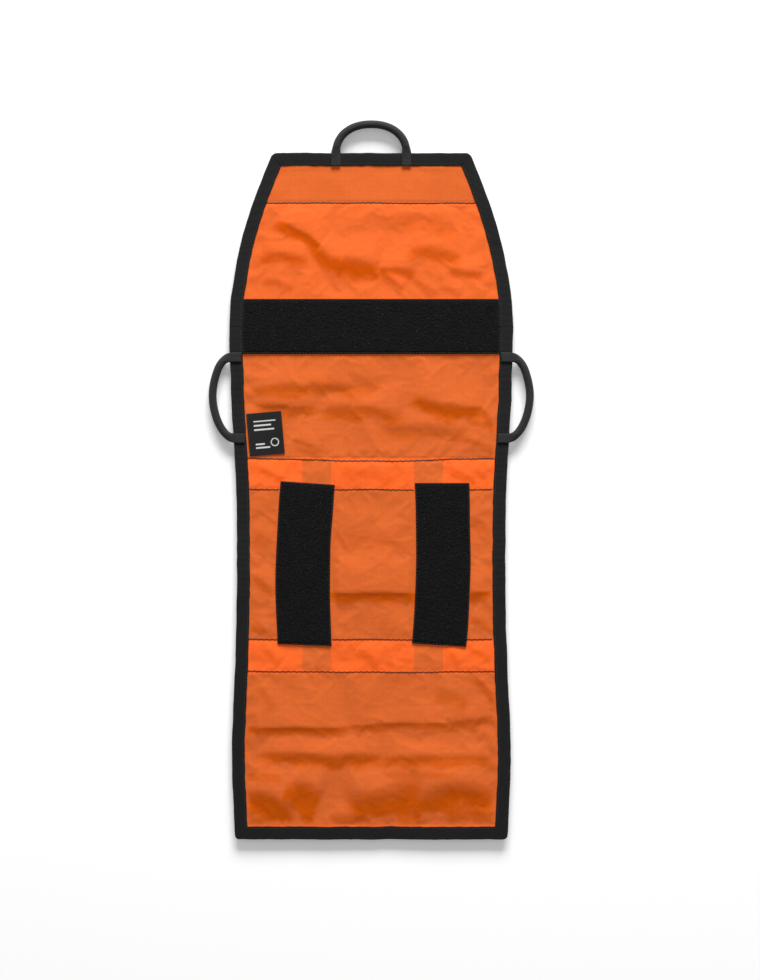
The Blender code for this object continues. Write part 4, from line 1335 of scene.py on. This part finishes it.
def zipTape(name, node, bodyName):
    # a flat tape with a round bead along the middle of its lower face
    x0, x1, s0, s1 = stationBox(node)
    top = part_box(node)[1].z - middleZ
    station, x = evenNet((s0, s1, 9), (x0, x1, 120))
    bead = 0.25 * mm * np.exp(-((station - (s0 + s1) / 2) / (1.2 * mm)) ** 2)
    tape = layered(x, station, top, top - pocketLook["tape"] - bead)
    ridingPiece(name, [tape], [finishes["zipTape"]], node, bodyName)


def zipCoil(name, node, bodyName):
    # two rows of bent nylon teeth that mesh along the middle, on a sewn cord
    x0, x1, s0, s1 = stationBox(node)
    zLow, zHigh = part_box(node)
    middle, z = (s0 + s1) / 2 + bottomY, (zLow.z + zHigh.z) / 2
    xs = np.arange(x0 + 0.6 * mm, x1 - 0.4 * mm, pocketLook["toothPitch"])
    parts = []
    for side in (-1, 1):
        tx = xs + (0.5 * pocketLook["toothPitch"] if side > 0 else 0)
        centres = np.stack([tx, middle + side * 0.75 * mm + 0 * tx, z + 0 * tx], -1)
        parts.append(capsules(centres, (0.12, 1.0, 0.0), up, 2.3 * mm, 0.34 * mm, squashUp=1.6))
        path = np.linspace((x0, middle + side * 1.45 * mm, z), (x1, middle + side * 1.45 * mm, z), 40)
        cord = np.stack(circle(8), -1) * (0.28 * mm, 0.42 * mm)
        parts.append(tube(path, up, cord, material=1))
    for x in (x0 + 0.6 * mm, x1 - 0.6 * mm):
        stop = np.array([[x, middle, z]])
        parts.append(capsules(stop, (0, 1.0, 0), up, 3.6 * mm, 0.8 * mm, material=2, sides=10))
    ridingPiece(name, parts, [finishes["coil"], finishes["zipTape"], finishes["metal"]], node, bodyName)


def plateRing(outer, hole, zTop, zBottom, bevel):
    # a flat plate with a hole: rings from the hole's edge over the top to the outline, and back underneath
    rings = [(0.0, zTop - bevel), (0.12, zTop), (0.88, zTop), (1.0, zTop - bevel),
             (1.0, zBottom + bevel), (0.88, zBottom), (0.12, zBottom), (0.0, zBottom + bevel)]
    net = np.stack([np.concatenate([hole + (outer - hole) * t, np.full((len(outer), 1), z)], 1) for t, z in rings])
    return part(net, gridFaces(len(rings), len(outer), wrapRows=True, wrapColumns=True, flip=True), net[..., :2])


def roundedBlock(x0, x1, y0, y1, zLow, zHigh, corner=3.2, waist=0.0, sides=40):
    # a soft-edged block: superellipse rings stacked from the lower face to the upper, pinched at mid length
    cx, cy = (signedPower(turn, 2 / corner) for turn in circle(sides))
    shrink = np.array([0.02, 0.86, 0.97, 1.0, 1.0, 0.97, 0.86, 0.02])
    level = np.array([0.0, 0.0, 0.12, 0.35, 0.65, 0.88, 1.0, 1.0])
    halfX, halfY = (x1 - x0) / 2, (y1 - y0) / 2
    x = (x0 + x1) / 2 + shrink[:, None] * cx * halfX
    y = (y0 + y1) / 2 + shrink[:, None] * cy * halfY * (1 - waist * (1 - cx ** 2))
    z = zLow + (zHigh - zLow) * level[:, None] + 0 * x
    net = np.stack([x, y, z], -1)
    return part(net, gridFaces(len(level), sides, wrapColumns=True), net[..., :2])


def zipSlider(name, node, bodyName, pullNode, pullName, pullBody):
    # slider: two shaped plates and a bridge; pull: a long plate with an eye
    low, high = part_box(node)
    parts = [
        roundedBlock(low.x, high.x, low.y, high.y, low.z + 0.95 * mm, high.z, waist=0.22),
        roundedBlock(low.x + 3.4 * mm, high.x - 3.4 * mm, low.y + 3.3 * mm, high.y - 3.3 * mm, low.z + 0.70 * mm,
                     low.z + 1.05 * mm, 2.4),
    ]
    hinge = foldPoint[pullBody + "_swing"]
    pLow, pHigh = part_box(pullNode)
    toPull = 1 if (pLow.x + pHigh.x) / 2 > hinge.x else -1
    arch = np.linspace(0, math.pi, 15)
    path = np.stack([hinge.x + 0 * arch, hinge.y + 1.9 * mm * np.cos(arch),
                     low.z + 1.0 * mm - 0.8 * mm * np.sin(arch)], -1)
    parts.append(tube(path, np.array([1.0, 0, 0]), 0.28 * mm * np.stack(circle(8), -1)))
    ridingPiece(name, parts, [finishes["metal"]], node, bodyName)
    c, s = circle(72)
    half, centre = np.array((pHigh - pLow).xy) / 2, np.array((pHigh + pLow).xy) / 2
    outer = centre + np.stack([signedPower(c, 0.25), signedPower(s, 0.6)], -1) * half
    eye = np.array([hinge.x + toPull * 0.9 * mm, centre[1]])
    hole = eye + np.stack([c * 0.9 * mm, s * 1.25 * mm], -1)
    plate = plateRing(outer, hole, pHigh.z, pLow.z, 0.15 * mm)
    ridingPiece(pullName, [plate], [finishes["metal"]], pullNode, pullBody)


for pocket in ("lower", "middle", "upper"):
    front, header = f"{pocket}_pocket_front", f"{pocket}_pocket_header"
    lowTape, highTape = f"{pocket}_pocket_zip_tape_lower", f"{pocket}_pocket_zip_tape_upper"
    net = lowerSheet(front, stationBox(front)[2], stationBox(lowTape)[3] - 3.5 * mm, pocket, f"net_{pocket}",
                     finishes["net"], pocketLook["net"], drop=0.5 * mm, inset=1.0 * mm)
    top = lowerSheet(header, stationBox(highTape)[2] + 3.5 * mm, stationBox(header)[3], pocket, f"header_{pocket}",
                     finishes["cloth"], pocketLook["net"], inset=1.0 * mm)
    zipTape(f"zip_tape_{pocket}_low", lowTape, pocket)
    zipTape(f"zip_tape_{pocket}_high", highTape, pocket)
    zipCoil(f"zip_teeth_{pocket}", f"{pocket}_pocket_zip_coil", pocket)
    zipSlider(f"zip_slider_{pocket}", f"{pocket}_pocket_zip_slider", f"{pocket}_slider",
              f"{pocket}_pocket_zip_pull", f"zip_pull_{pocket}", f"{pocket}_pull")
print("pocket side made")

# floor, light and camera

studio = dict(floorSize=6.0, view=0.9075, eye=2.6, aim=(0.0081, -0.0094), lensSensor=36.0, keyPower=318.0,
              keySize=(2.8, 1.2), keyDistance=4.0, keyElevation=22.0, keySide=0.25, worldStrength=0.36,
              backdrop=0.92, floorGlow=0.16)


def makeFloor():
    # a wide pale plane; its underside lets light and sight through, so the panel can be seen from below
    half = studio["floorSize"] / 2
    corners = np.array([[-half, -half, 0], [half, -half, 0], [half, half, 0], [-half, half, 0]])
    material = bpy.data.materials.new("studioFloor")
    material.use_nodes = True
    tree = material.node_tree
    shader = tree.nodes["Principled BSDF"]
    shader.inputs["Roughness"].default_value = 0.9
    shader.inputs["Specular IOR Level"].default_value = 0.1
    shader.inputs["Base Color"].default_value = (0.93, 0.93, 0.93, 1)
    shader.inputs["Emission Color"].default_value = (1, 1, 1, 1)
    shader.inputs["Emission Strength"].default_value = studio["floorGlow"]
    clear = addNode(tree, "ShaderNodeBsdfTransparent")
    behind = addNode(tree, "ShaderNodeNewGeometry").outputs["Backfacing"]
    mix = addNode(tree, "ShaderNodeMixShader", {0: behind, 1: shader.outputs[0], 2: clear.outputs[0]})
    tree.links.new(mix.outputs[0], tree.nodes["Material Output"].inputs["Surface"])
    meshPiece("floor", [part(corners, np.array([[0, 1, 2, 3]]))], [material])


def makeKeyLight():
    # one soft rectangle beyond the panel's top edge, facing the panel and unseen by the camera
    lamp = bpy.data.lights.new("keyLight", "AREA")
    lamp.shape, lamp.energy = "RECTANGLE", studio["keyPower"]
    lamp.size, lamp.size_y = studio["keySize"]
    light = bpy.data.objects.new("keyLight", lamp)
    elevation = math.radians(studio["keyElevation"])
    away = studio["keyDistance"]
    light.location = (studio["keySide"], away * math.cos(elevation), away * math.sin(elevation))
    light.visible_camera = False
    light.rotation_euler = light.location.to_track_quat("Z", "Y").to_euler()
    bpy.context.scene.collection.objects.link(light)


makeFloor()
makeKeyLight()

world = bpy.data.worlds.new("paleRoom")
world.use_nodes = True
world.node_tree.nodes["Background"].inputs["Color"].default_value = (1, 1, 1, 1)
# the room lights softly, and the camera sees it as a pale backdrop
seen = addNode(world.node_tree, "ShaderNodeLightPath").outputs["Is Camera Ray"]
strength = remap(world.node_tree, seen, 0, 1, studio["worldStrength"], studio["backdrop"])
world.node_tree.links.new(strength, world.node_tree.nodes["Background"].inputs["Strength"])
bpy.context.scene.world = world
bpy.context.scene.view_settings.view_transform = "Standard"

camera = bpy.data.objects.new("camera", bpy.data.cameras.new("camera"))
camera.data.sensor_width = studio["lensSensor"]
camera.data.lens = studio["lensSensor"] * studio["eye"] / studio["view"]
camera.location = (*studio["aim"], studio["eye"] + middleZ)
bpy.context.scene.collection.objects.link(camera)
bpy.context.scene.camera = camera

bpy.context.view_layer.update()
